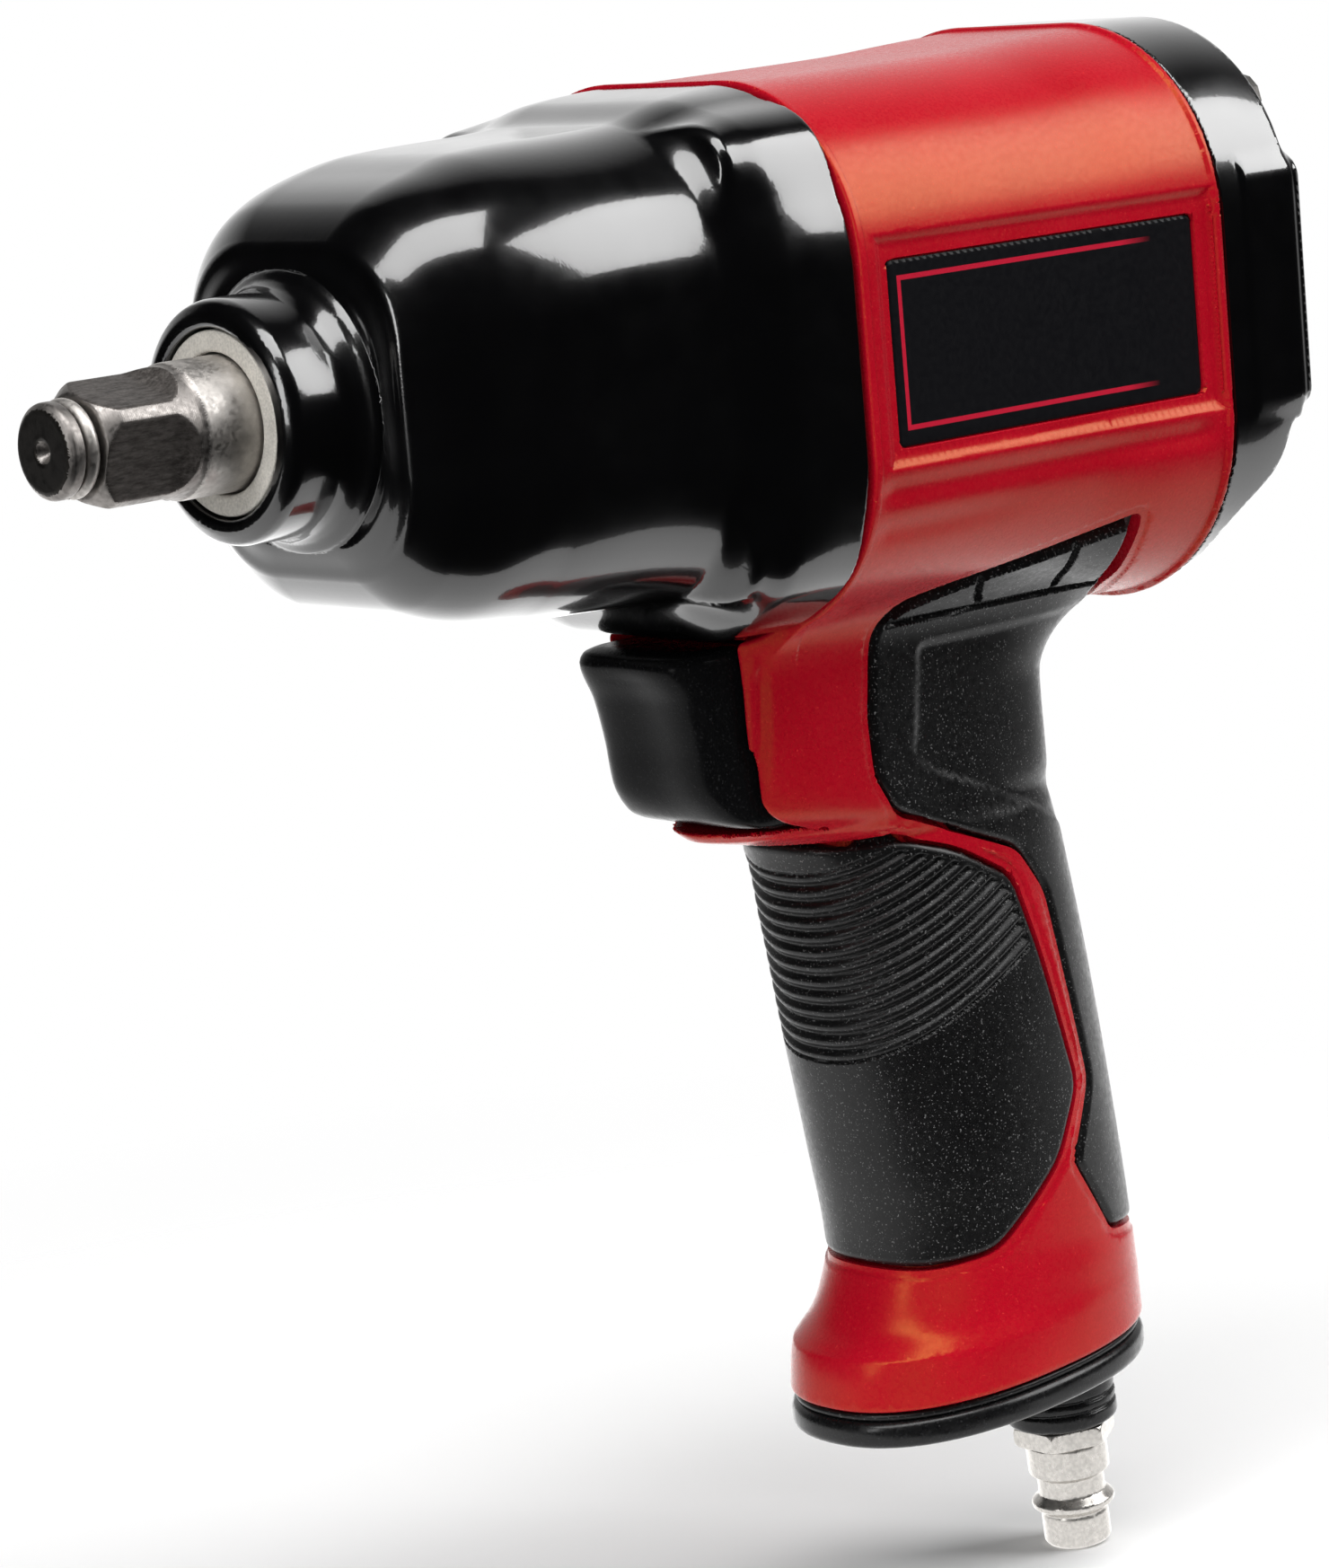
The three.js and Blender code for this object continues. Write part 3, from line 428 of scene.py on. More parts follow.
# Handle: z, front x, back x, half width, power of its superellipse, and tilt in degrees.
HANDLE_ROWS = [
    (-24, -93, -163, 16.4, 4.5, 0), (-36, -92.8, -163, 16.4, 4.5, 0), (-42, -92.6, -159, 16.4, 4, 0),
    (-50, -92.6, -153.8, 16.4, 3.8, 0), (-62, -94.8, -154.4, 16.6, 3.4, 0),
    (-64.6, -96.6, -155, 16.7, 2.9, 0), (-66, -102.4, -155.4, 16.9, 2.6, 0),
    (-67.5, -109.8, -155.8, 17.2, 2.4, 0),
    (-80, -112.6, -158.4, 17.6, 2.3, 0), (-95, -115, -160.8, 17.8, 2.3, 0),
    (-112, -117.8, -163.2, 17.6, 2.3, 0), (-127, -119.8, -165, 17.4, 2.3, 0),
    (-131.5, -118.6, -165.4, 17.8, 2.3, 0), (-134.6, -116.4, -165.6, 18.1, 2.3, 1.6),
    (-136.8, -113.3, -165.8, 18.5, 2.3, 2.8), (-137.5, -112.3, -165.8, 18.6, 2.3, 3),
    (-143.9, -111.2, -166, 18.9, 2.3, 4), (-152, -109.8, -166.4, 19.1, 2.3, 4),
]
# The trigger's face: z and x.
TRIGGER_ROWS = [
    (-37.9, -88.2), (-38.6, -86.7), (-40, -86.4), (-45, -88.4), (-51, -89.8), (-56.4, -90.6),
    (-60.2, -92.8), (-62.1, -96), (-62.7, -100),
]
TRIGGER_HALF, TRIGGER_BACK, TRIGGER_LOW, TRIGGER_TOP, ROD_BORE = 11.4, -107, -63.1, -37.9, 2.5
# The trigger's pocket, as low and high x, y and z.
POCKET = (-116, -80, -12.2, 12.2, -63.4, -37.5)
# Bores are given by their radius.
BOLT_OFFSET, BOLT_SEAT, LOW_BOLT_SEAT, HEAD_BORE, SHANK_BORE = 23.6, -182.4, -176.4, 4.2, 2.5
BOSS_R, BOSS_FRONT, CASE_BACK = 6, -85, -101
MOTOR_BORE, CASE_CAVITY, BUSH_BORE, KNOB_BORE = 25.7, 24.4, 11.7, 5.3
RECESS_R, RECESS_BACK = 17, -178
# The grips' edges seen from the side: x and z.
FRONT_EDGE = rounded([
    (-95, -68), (-110, -67.4), (-119, -66.6), (-128, -69.6), (-137.6, -75), (-141.6, -86),
    (-147.4, -106), (-142.4, -116), (-131, -126.4), (-122, -128), (-100, -126),
])
REAR_EDGE = rounded([
    (-115.4, -38.6), (-114, -50), (-114.4, -58), (-118, -64), (-138.6, -72), (-143.6, -78.6),
    (-149.6, -106), (-144.8, -116.6), (-152.4, -128.2), (-180, -131), (-180, -44), (-163, -43.4),
    (-157.4, -39.6), (-154.4, -34), (-152.6, -27.8), (-118.6, -35.3),
], 1.8)
SHELL = 2.6
# Low and high x and z.
LABEL = (-162.4, -107, -13.2, 10.6)
FOOT_SEAM, FOOT_TILT = -143.9, math.radians(4)
INLET_RIDGE, INLET_TILT, SEAT_R = (-156.9, 0, -170.6), math.radians(4.54), 7.6
TRIGGER_AXIS_Z, CHAMBER_R, CHAMBER_X = -45, 7, (-148.5, -110)
FELT_X, FELT_HALF = (-142, -126), 8.4

# ---- the tool's outer fields


def sectioned(rows, edge):
    """Field of a body with the given rounded sections, and ends rounded by edge."""
    shape = tracks(rows)
    low, high = min(row[0] for row in rows), max(row[0] for row in rows)

    def field(p):
        x, y, z = p.T
        across = rounded_section(y, z, *(part(x) for part in shape))
        return smooth_max(across, slab(x, low, high), edge)
    return field


case_body = sectioned(CASE_ROWS, 0.8)
barrel_body = sectioned(BARREL_ROWS, 0.5)
cover_dome = sectioned(COVER_ROWS, 0.2)
cover_band = sectioned(BAND_ROWS, 0.6)
handle_shape = tracks(HANDLE_ROWS)
collar_radius = track([-24, -25.6, -26.4, -27.4, -33, -34.6, -35.8, -36.9, -37.1, -38],
                      [13.3, 13.9, 14.8, 15.1, 15.2, 15.5, 16.2, 17.5, 17.5, 15])
# Groove behind the bead that runs round the trigger pocket's rim: height and x.
bead_line = track([-37, -51.7, -55.7, -58.7, -60.1, -61], [-98.4, -97.6, -97.2, -96.4, -95, -93])
trigger_front = tracks(TRIGGER_ROWS)[0]


def handle_field(p):
    x, y, z = p.T
    front, back, half, power, tilt = (part(z) for part in handle_shape)
    z = z + (x - (front + back) / 2) * np.tan(np.radians(tilt))
    front, back, half, power, tilt = (part(z) for part in handle_shape)
    ahead = x - (front + back) / 2
    power = power - 1.2 * np.exp(-((z + 64) / 3) ** 2) * step(0, 6, ahead)
    across = superellipse(ahead, y, (front - back) / 2, half, power)
    return smooth_max(across, slab(z, FOOT_SEAM, -24), 0.8)


def bolt_lines(p):
    """Distance from the nearest of the four cover bolts' axes."""
    return np.hypot(np.abs(p[:, 1]) - BOLT_OFFSET, np.abs(p[:, 2]) - BOLT_OFFSET)


def case_field(p):
    x = p[:, 0]
    collar = smooth_max(rod_x(p, collar_radius(x)), slab(x, -44, -25.5), 0.8)
    outer = smooth_min(case_body(p), collar, 0.5)
    bosses = smooth_max(bolt_lines(p) - BOSS_R, slab(x, CASE_BACK, BOSS_FRONT), 1.5)
    outer = smooth_min(outer, bosses, 4)
    outer = smooth_max(outer, slab(x, CASE_BACK, 0), 0.4)
    outer = cut(outer, rod_x(p, BUSH_BORE), 0.7)
    cavity = smooth_max(rod_x(p, CASE_CAVITY), slab(x, -120, -50.8), 0.6)
    return cut(outer, cavity, 0.6)


def cover_field(p):
    x, _, z = p.T
    dome = cut(cover_dome(p), distance_to(COVER_SLANT, x, z), 0.5)
    outer = smooth_min(dome, cover_band(p), 1.8)
    outer = smooth_max(outer, slab(x, TOOL_BACK, REAR_SEAM), 0.15)
    recess = smooth_max(rod_x(p, RECESS_R), slab(x, RECESS_BACK, 0), 0.6)
    outer = cut(outer, recess, 0.6)
    outer = cut(outer, rod_x(p, KNOB_BORE), 0.6)
    heads = bolt_lines(p) - HEAD_BORE
    heads = smooth_max(heads, x - np.where(z > 0, BOLT_SEAT, LOW_BOLT_SEAT) - GAP, 0.3)
    return cut(cut(outer, heads, 0.5), bolt_lines(p) - SHANK_BORE, 0.3)


LIP_WIDTH, LIP_FALL, LIP_HEIGHT = 1.2, 0.5, 0.5
TRAY, TRAY_DEPTH = (-165.6, -104.6, -15.6, 13.8), 0.75
# Each valley's height, the x where it starts and where it is full, and its depth.
VALLEYS, VALLEY_WIDTH = ((-18.4, -166, -160, 0.6), (-23.6, -136, -112, 0.35)), 1.6


def barrel_setback(p):
    """How far the barrel's skin is set back from its full size: a lip stands at each seam, a tray
    holds the label, and soft valleys run below the ridge under it."""
    x, y, z = p.T
    lips = step(LIP_WIDTH + LIP_FALL, LIP_WIDTH, FRONT_SEAM - x)
    lips = lips + step(LIP_WIDTH + LIP_FALL, LIP_WIDTH, x - REAR_SEAM)
    side = step(24, 30, np.abs(y))
    across = np.maximum(slab(x, *TRAY[:2]), slab(z, *TRAY[2:]))
    setback = LIP_HEIGHT * (1 - lips) + TRAY_DEPTH * (side * step(0.4, -1.4, across))
    for height, rear, full, depth in VALLEYS:
        dip = side * np.exp(-((z - height) / VALLEY_WIDTH) ** 2)
        setback = setback + depth * (dip * step(rear, full, x) * step(-101.5, -106, x))
    return setback


def housing_outer(p):
    x, y, z = p.T
    barrel = smooth_max(barrel_body(p) + barrel_setback(p), slab(x, REAR_SEAM + GAP, FRONT_SEAM), 0.4)
    groove = np.exp(-((x - bead_line(z)) / 0.8) ** 2) * step(-62, -60, z) * step(-38, -40, z)
    handle = handle_field(p) + 0.6 * groove * step(10, 12.5, np.abs(y))
    handle = smooth_max(handle, smooth_min(x - FRONT_SEAM, z + 37.5, 0.8), 0.8)
    return smooth_min(barrel, handle, 7)


def inlet_frame(p):
    """Distance past the nipple's ridge along the inlet axis, radius from it and angle round it."""
    x, y, z = (p - np.array(INLET_RIDGE)).T
    along = -math.sin(INLET_TILT) * x - math.cos(INLET_TILT) * z
    side = -math.cos(INLET_TILT) * x + math.sin(INLET_TILT) * z
    return along, np.hypot(side, y), np.arctan2(y, side)


def housing_field(p):
    """The housing with its bore, trigger pocket and passages, but without the grips' recesses."""
    body = housing_outer(p)
    body = cut(body, rod_x(p, MOTOR_BORE), 0.5)
    body = cut(body, cuboid(p, *POCKET), 0.8)
    chamber = smooth_max(rod_x(p, CHAMBER_R, TRIGGER_AXIS_Z), slab(p[:, 0], *CHAMBER_X), 0.5)
    along, radius, _ = inlet_frame(p)
    seat = smooth_max(radius - SEAT_R, slab(along, -46, 0), 0.5)
    felt_room = cuboid(p, *FELT_X, -FELT_HALF, FELT_HALF, -160, -131)
    for hollow in (chamber, seat, felt_room):
        body = cut(body, hollow, 0.5)
    return body


# ---- materials


class Nodes:
    """Short ways to add nodes to the tree of a material or the world."""

    def __init__(self, owner, place):
        owner.use_nodes = True
        self.tree = owner.node_tree
        self.place = self.node("ShaderNodeTexCoord").outputs[place]

    def feed(self, socket, value):
        """Links a socket to another node's output, or gives it a number, a vector or a colour."""
        if isinstance(value, bpy.types.NodeSocket):
            self.tree.links.new(value, socket)
        elif socket.type == "RGBA":
            socket.default_value = (*value, 1)
        else:
            socket.default_value = value

    def node(self, kind, inputs={}, **settings):
        made = self.tree.nodes.new(kind)
        for key, value in settings.items():
            setattr(made, key, value)
        for key, value in inputs.items():
            self.feed(made.inputs[key], value)
        return made

    def math(self, operation, a, b=0.0):
        return self.node("ShaderNodeMath", {0: a, 1: b}, operation=operation).outputs[0]

    def vector(self, operation, other):
        """The place's dot product with another vector, or its distance from another point."""
        made = self.node("ShaderNodeVectorMath", {0: self.place, 1: other}, operation=operation)
        return made.outputs["Value"]

    def spread(self, value, low, high, to_low=0.0, to_high=1.0):
        ends = dict(enumerate((value, low, high, to_low, to_high)))
        return self.node("ShaderNodeMapRange", ends, clamp=True).outputs[0]

    def mix(self, factor, first, second):
        return self.node("ShaderNodeMix", {0: factor, 6: first, 7: second}, data_type="RGBA").outputs[2]

    def noise(self, size, detail=2.0, rough=0.5, stretch=(1, 1, 1)):
        """Noise whose blobs are about size millimetres across."""
        mapping = self.node("ShaderNodeMapping", {"Vector": self.place, "Scale": stretch})
        look = {"Scale": 1 / (size * MM), "Detail": detail, "Roughness": rough}
        return self.node("ShaderNodeTexNoise", {"Vector": mapping.outputs[0], **look}).outputs[0]


class Paint(Nodes):
    """A Principled material and ways to vary it."""

    def __init__(self, name, color, roughness, metallic=0.0, **sockets):
        self.material = bpy.data.materials.new(name)
        super().__init__(self.material, "Object")
        self.shader = self.tree.nodes["Principled BSDF"].inputs
        sockets |= {"Base_Color": color, "Roughness": roughness, "Metallic": metallic}
        for socket, value in sockets.items():
            self.feed(self.shader[socket.replace("_", " ")], value)

    def color(self, factor, first, second):
        """Base colour that goes from first to second."""
        self.feed(self.shader["Base Color"], self.mix(factor, first, second))

    def rough(self, size, detail, low, high):
        """Roughness that drifts from low to high in patches about size millimetres across."""
        patches = self.spread(self.noise(size, detail), 0.3, 0.7, low, high)
        self.feed(self.shader["Roughness"], patches)

    def relief(self, *layers, coat=False):
        """Stacks bumps on the shader's normal, each of a height (0 to 1) and a depth in millimetres."""
        normal = None
        for height, depth in layers:
            below = {} if normal is None else {"Normal": normal}
            bump = {"Strength": 1.0, "Distance": depth * MM, "Height": height, **below}
            normal = self.node("ShaderNodeBump", bump).outputs[0]
        for socket in ("Normal", "Coat Normal") if coat else ("Normal",):
            self.feed(self.shader[socket], normal)


def gloss_paint():
    p = Paint("gloss_paint", (0.0012, 0.0012, 0.0014), 0.16, Coat_Weight=1.0, Coat_Roughness=0.045)
    p.rough(6, 3, 0.15, 0.22)
    p.relief((p.noise(0.9, 1.0), 0.004), (p.noise(0.3, 1.0), 0.003), coat=True)
    return p.material


def red_composite():
    p = Paint("red_composite", (0.36, 0.0025, 0.013), 0.3, Specular_IOR_Level=0.4,
              Specular_Tint=(1, 0.6, 0.12))
    drift = p.spread(p.noise(14, 3), 0.3, 0.7)
    specks = p.spread(p.noise(0.28, 1.0), 0.68, 0.76)
    base = p.mix(drift, (0.34, 0.002, 0.011), (0.38, 0.003, 0.014))
    p.color(specks, base, (0.55, 0.03, 0.03))
    p.rough(0.6, 2, 0.23, 0.33)
    p.relief((p.noise(0.35, 2), 0.014))
    return p.material


def grip_rubber():
    p = Paint("grip_rubber", (0.004, 0.004, 0.004), 0.5, Specular_IOR_Level=0.32)
    specks = p.spread(p.noise(0.26, 0.5), 0.67, 0.75)
    cloud = p.spread(p.noise(9, 4, 0.6), 0.3, 0.72)
    base = p.mix(cloud, (0.0025, 0.0025, 0.0027), (0.005, 0.005, 0.0052))
    p.color(specks, base, (0.11, 0.11, 0.11))
    p.rough(0.8, 3, 0.28, 0.42)
    p.relief((p.noise(0.25, 2), 0.014), (p.noise(2.5, 2), 0.02))
    return p.material


def black_plastic(name, level):
    p = Paint(name, (0.004, 0.004, 0.0043), 0.3, Specular_IOR_Level=level)
    specks = p.spread(p.noise(0.3, 1), 0.62, 0.76)
    p.color(specks, (0.0035, 0.0035, 0.0038), (0.02, 0.02, 0.021))
    p.rough(1.2, 3, 0.22, 0.34)
    p.relief((p.noise(0.4, 2), 0.010), (p.noise(4, 2), 0.03))
    return p.material


def label_print():
    """Black plate with a thin red rule round it that fades towards the rear."""
    p = Paint("label_print", (0.006, 0.006, 0.007), 0.3, Specular_IOR_Level=0.12)
    x, _, z = p.node("ShaderNodeSeparateXYZ", {0: p.place}).outputs
    # How far past the rule's middle and half size, along x and z, in metres.
    across, down = (p.math("SUBTRACT", p.math("ABSOLUTE", p.math("SUBTRACT", place, middle)), half)
                    for place, middle, half in ((x, -0.1349, 0.0259), (z, -0.0013, 0.0095)))
    edge = p.math("MAXIMUM", across, down)
    rule = p.spread(p.math("ABSOLUTE", edge), 0.00028, 0.00036, 1, 0)
    red = p.math("MULTIPLY", rule, p.spread(x, -0.1545, -0.149))
    p.color(red, (0.004, 0.004, 0.005), (0.42, 0.01, 0.03))
    p.rough(0.8, 2, 0.3, 0.42)
    p.relief((p.noise(0.3, 1), 0.003))
    return p.material


def lathe_steel(name, tint, roughness, ring=0.24, depth=0.006):
    """Steel with the fine rings that a cutting tool leaves along X."""
    p = Paint(name, tint, roughness, 1.0)
    waves = {"Vector": p.place, "Scale": 0.314 / (ring * MM), "Distortion": 0.6, "Detail": 1.0}
    wave = p.node("ShaderNodeTexWave", waves, bands_direction="X", wave_profile="SIN")
    stain = p.spread(p.noise(2.6, 4, 0.6), 0.35, 0.75)
    dark = tuple(0.62 * c for c in tint)
    p.color(stain, tint, dark)
    p.rough(0.6, 3, roughness * 0.8, roughness * 1.35)
    p.relief((wave.outputs["Fac"], depth), (p.noise(0.3, 2), 0.003))
    return p.material


def milled_flat():
    p = Paint("milled_flat", (0.10, 0.09, 0.085), 0.48, 0.85)
    scratches = p.noise(0.5, 3, 0.7, (0.25, 1, 1))
    p.color(p.spread(scratches, 0.35, 0.75), (0.06, 0.053, 0.049), (0.17, 0.155, 0.145))
    p.rough(0.4, 3, 0.4, 0.6)
    p.relief((scratches, 0.012), (p.noise(0.2, 1), 0.006))
    return p.material


def cast_metal(name, tint, roughness, metallic=1.0, grain=0.35, depth=0.008):
    p = Paint(name, tint, roughness, metallic)
    pits = p.spread(p.noise(grain, 2), 0.3, 0.72)
    p.color(pits, tuple(0.75 * c for c in tint), tint)
    p.rough(1.4, 3, roughness * 0.8, roughness * 1.3)
    p.relief((p.noise(grain, 2), depth))
    return p.material


def felt():
    p = Paint("felt", (0.36, 0.33, 0.29), 0.95)
    fibre = p.noise(0.3, 5, 0.7, (1, 0.4, 1))
    p.color(fibre, (0.24, 0.22, 0.19), (0.48, 0.45, 0.40))
    p.relief((fibre, 0.12))
    return p.material


def pressed_fibre():
    p = Paint("pressed_fibre", (0.12, 0.075, 0.04), 0.6)
    weave = p.noise(0.5, 4, 0.6, (0.2, 1, 1))
    p.color(weave, (0.08, 0.05, 0.026), (0.18, 0.12, 0.065))
    p.relief((weave, 0.03))
    return p.material


LOOKS = {
    "case_paint": gloss_paint(),
    "red_composite": red_composite(),
    "grip_rubber": grip_rubber(),
    "black_plastic": black_plastic("black_plastic", 0.35),
    "label_plate": label_print(),
    "steel": lathe_steel("turned_steel", (0.30, 0.28, 0.265), 0.42),
    "dark_steel": cast_metal("dark_steel", (0.11, 0.105, 0.10), 0.4),
    "bush_metal": cast_metal("bush_metal", (0.74, 0.71, 0.65), 0.65, 0.5, 0.3),
    "nickel": cast_metal("nickel", (0.70, 0.67, 0.63), 0.28, 0.9, 0.6, 0.003),
    "bronze": cast_metal("bronze", (0.42, 0.27, 0.12), 0.36),
    "vane_fibre": pressed_fibre(),
    "felt": felt(),
}
MILLED = milled_flat()
# The anvil's front face gets a far darker metal than the rest: painted shade.
NOSE_FACE_PAINTED_SHADE = cast_metal("nose_face_painted_shade", (0.035, 0.032, 0.029), 0.45)
# A copy of the black plastic that reflects far less, for the trigger: painted shade, standing in for the
# shaded table that the trigger's face mirrors.
SHADED_TRIGGER_PLASTIC = black_plastic("trigger_plastic_painted_shade", 0.08)
JOURNAL = lathe_steel("ground_steel", (0.60, 0.57, 0.54), 0.45, 0.12, 0.002)


def dress_frame():
    """Every CAD node takes the procedural material of its slot in the record."""
    for part in frame["record"]["subparts"]:
        data = NODES[part["node"]].data
        data.materials.clear()
        data.materials.append(LOOKS[part["material_slot"]])


# ---- pieces


def add_case():
    field_piece("hammer_case_body", "hammer_case", case_field, ((-103, -38, -40), (-23, 38, 38)), 1.5,
                "housing", "case_paint", lambda p: np.where((p[:, 0] > -46) | (p[:, 0] < -99), 0.7, 1.5),
                rings=(CASE_BACK + 0.45, CASE_BACK + 0.2, CASE_BACK))


def add_cover():
    field_piece("rear_cover_body", "rear_cover", cover_field, ((-192, -39, -45), (-164, 39, 39)), 1.2,
                "housing", "case_paint", lambda p: 1.1,
                rings=(REAR_SEAM - 0.01, REAR_SEAM - 0.17))


def front_distance(p):
    return distance_to(FRONT_EDGE, p[:, 0], p[:, 2])


def rear_distance(p):
    return distance_to(REAR_EDGE, p[:, 0], p[:, 2])


def label_distance(p):
    """Signed distance to the label's rounded outline, on the barrel's sides only."""
    x, y, z = p.T
    x0, x1, z0, z1 = LABEL
    d = rounded_section(x - (x0 + x1) / 2, z, (x1 - x0) / 2, z1, -z0, LABEL_CORNER)
    return np.where(np.abs(y) > SIDE_START, d, 50.0)


# The housing's skin falls by EDGE_DROP over STEP, outside each grip. WALL is where the recess's
# wall ends inside it, and PLATE_EDGE is where the rubber starts.
EDGE_DROP, RUBBER_ROLL, SKIN_REACH = 0.3, 1.2, 0.25
STEP, WALL, PLATE_EDGE = (1.25, 1.0), -0.15, -0.45
LABEL_CORNER, LABEL_WALL, LABEL_DEPTH, LABEL_EDGE, LABEL_RIM = 1, (0.2, 0.05), 0.9, -0.1, -0.6
SIDE_START = 28


def rubber_edge(d):
    """How far the rubber's face drops where it rolls over towards its edge."""
    t = np.clip(RUBBER_ROLL + d - PLATE_EDGE, 0, RUBBER_ROLL)
    return -(RUBBER_ROLL - np.sqrt(RUBBER_ROLL ** 2 - t * t))


def housing_drop(p):
    """Recesses for the grips and the labels, and a shallow step round each grip."""
    on_skin = np.abs(housing_outer(p)) < SKIN_REACH
    grips = np.minimum(front_distance(p), rear_distance(p))
    drop = -EDGE_DROP * step(*STEP, grips)
    drop = np.where(grips < 0, np.interp(grips, [WALL, 0], [-SHELL, -EDGE_DROP]), drop)
    drop = drop + np.interp(label_distance(p), LABEL_WALL[::-1], [-LABEL_DEPTH, 0])
    return np.where(on_skin, drop, 0)


RIB_SLOPE, RIB_PITCH, RIB_TOP, RIB_LOW = 0.54, 2.27, -67.8, -97.2


def rib_height(p):
    """Height across the slanting ribs."""
    return p[:, 2] + RIB_SLOPE * (p[:, 0] + 118)


def rib_drop(p):
    along = rib_height(p)
    wave = 0.5 - 0.5 * np.cos(2 * math.pi * (RIB_TOP - along) / RIB_PITCH + math.pi)
    inside = step(-1.7, -2.3, front_distance(p)) * step(RIB_TOP, RIB_TOP - 0.6, along)
    return -0.6 * (wave ** 1.4) * inside * step(RIB_LOW, RIB_LOW + 0.3, along)


def front_grip_drop(p):
    return rubber_edge(front_distance(p)) + rib_drop(p)


PAD_LINE, GAP_EDGE, GAP_DEPTH, PANEL_DEPTH = -38.3, -2.1, 1.9, 0.45
PAD_GROOVES = (((-130.9, -34.0), (-133.9, -37.6)), ((-143.4, -30.4), (-147.4, -37.4)))
PANEL = rounded([
    (-124, -42), (-180, -42), (-180, -84), (-147.7, -68.7), (-141.9, -65.8), (-134.1, -62.6),
    (-124.9, -58.8), (-121.8, -56.4), (-123, -50.6),
], 1.5, 4)


def rear_grip_drop(p):
    """Three pads under the barrel behind a deep gap, with grooves between and below them, and a
    shallow panel lower down."""
    d = rear_distance(p)
    x, _, z = p.T
    above = step(PAD_LINE, PAD_LINE + 0.5, z)
    gap = step(GAP_EDGE, -1.5, d) * above
    grooves = np.max([step(0.55, 0.2, to_segment(x, z, *g)) for g in PAD_GROOVES], axis=0)
    low = step(0.5, 0.2, np.abs(z - PAD_LINE)) * step(-117, -119, x)
    pads = 0.9 * grooves * above + 0.8 * low
    inside = step(0.8, -0.8, distance_to(PANEL, x, z)) * step(-158, -150, x)
    return np.minimum(rubber_edge(d), -np.maximum(GAP_DEPTH * gap, pads)) - PANEL_DEPTH * inside


def label_drop(p):
    return -0.25 - 0.25 * step(LABEL_RIM, -0.05, label_distance(p))


def pushed(points, normals, drop):
    """Points moved along their normals by drop, and the normals of the moved surface."""
    slope = gradient(drop, points)
    slope -= (slope * normals).sum(1)[:, None] * normals
    return points + drop(points)[:, None] * normals, unit(normals - slope)


def plate(points, faces, normals, drop, thickness):
    """Closed plate on a patch of skin: its face set in by drop, its back sunk by thickness."""
    used, faces = np.unique(faces, return_inverse=True)
    points, normals, faces = points[used], normals[used], faces.reshape(-1, 3)
    top, smooth = pushed(points, normals, drop)
    under = points - thickness * normals
    count = len(points)
    pairs = np.stack([faces, np.roll(faces, -1, axis=1)], 2).reshape(-1, 2)
    forth, back = pairs[:, 0] * count + pairs[:, 1], pairs[:, 1] * count + pairs[:, 0]
    rim = pairs[~np.isin(forth, back)]
    a, b = rim[:, 0], rim[:, 1]
    walls = np.concatenate([np.stack([b, a, a + count], 1), np.stack([b, a + count, b + count], 1)])
    whole = np.concatenate([faces, faces[:, ::-1] + count, walls])
    return np.concatenate([top, under]), whole, np.concatenate([smooth, -normals])


def housing_size(p):
    """Longest edge wanted: short at the ribs, pads, guard and seams, and long in the bore."""
    x, y, z = p.T
    ribs = (front_distance(p) < -1.2) & (rib_height(p) > RIB_LOW - 1.3)
    near_seam = (np.abs(x - FRONT_SEAM) < 2.4) | (np.abs(x - REAR_SEAM) < 2.4)
    pads = (rear_distance(p) < 1.5) & (z > -43)
    guard = ((x > -112) & (z > -69) & (z < -57)) | ((x > -99.5) & (z < -36))
    fine = np.where(ribs | pads | guard, 0.55, np.where(near_seam, 0.7, 1.4))
    bore = (np.hypot(y, z) < MOTOR_BORE + 1.3) & (x > REAR_SEAM) & (x < CASE_BACK)
    return np.where(bore, 4, fine)


HOUSING_RINGS = (
    FRONT_SEAM - 0.2, FRONT_SEAM - 0.45, FRONT_SEAM - LIP_WIDTH, FRONT_SEAM - LIP_WIDTH - LIP_FALL,
    REAR_SEAM + LIP_WIDTH + LIP_FALL, REAR_SEAM + LIP_WIDTH, REAR_SEAM + 0.75, REAR_SEAM + 0.5,
)


def add_housing():
    box = ((-169, -39, -147), (-89, 39, 39))
    points, faces = skin(housing_field, *box, 1.2, housing_size, 3, 0.4, rings=HOUSING_RINGS)
    rims = (*STEP, 0, WALL, PLATE_EDGE, -1.0, -1.65)
    for value, levels in ((front_distance, rims), (rear_distance, (*rims, GAP_EDGE)),
                          (label_distance, (*LABEL_WALL, LABEL_EDGE, LABEL_RIM))):
        for level in levels:
            points, faces = trace(housing_field, points, faces, value, level)
    # Faces without area are left out.
    faces = faces[np.linalg.norm(face_normals(points, faces), axis=1) > 1e-9]
    normals = unit(gradient(housing_field, points))
    top, smooth = pushed(points, normals, housing_drop)
    make_object("housing_body", top, faces, corner_normals(top, faces, smooth, 45), "housing",
                "red_composite", ["motor_housing"])
    middle = points[faces].mean(1)
    outer = np.abs(housing_outer(middle)) < 0.2
    left = middle[:, 1] > 0
    for name, slot, value, inset, drop, thickness, side in (
        ("front_grip", "grip_rubber", front_distance, PLATE_EDGE, front_grip_drop, 2.3, True),
        ("rear_grip", "grip_rubber", rear_distance, PLATE_EDGE, rear_grip_drop, 2.3, True),
        ("label_left", "label_plate", label_distance, LABEL_EDGE, label_drop, 0.7, left),
        ("label_right", "label_plate", label_distance, LABEL_EDGE, label_drop, 0.7, ~left),
    ):
        chosen = outer & (value(middle) < inset) & side
        made = plate(points, faces[chosen], normals, drop, thickness)
        make_object(f"{name}_skin", *made[:2], corner_normals(*made, 45), "housing", slot, [name])


# ---- drive end

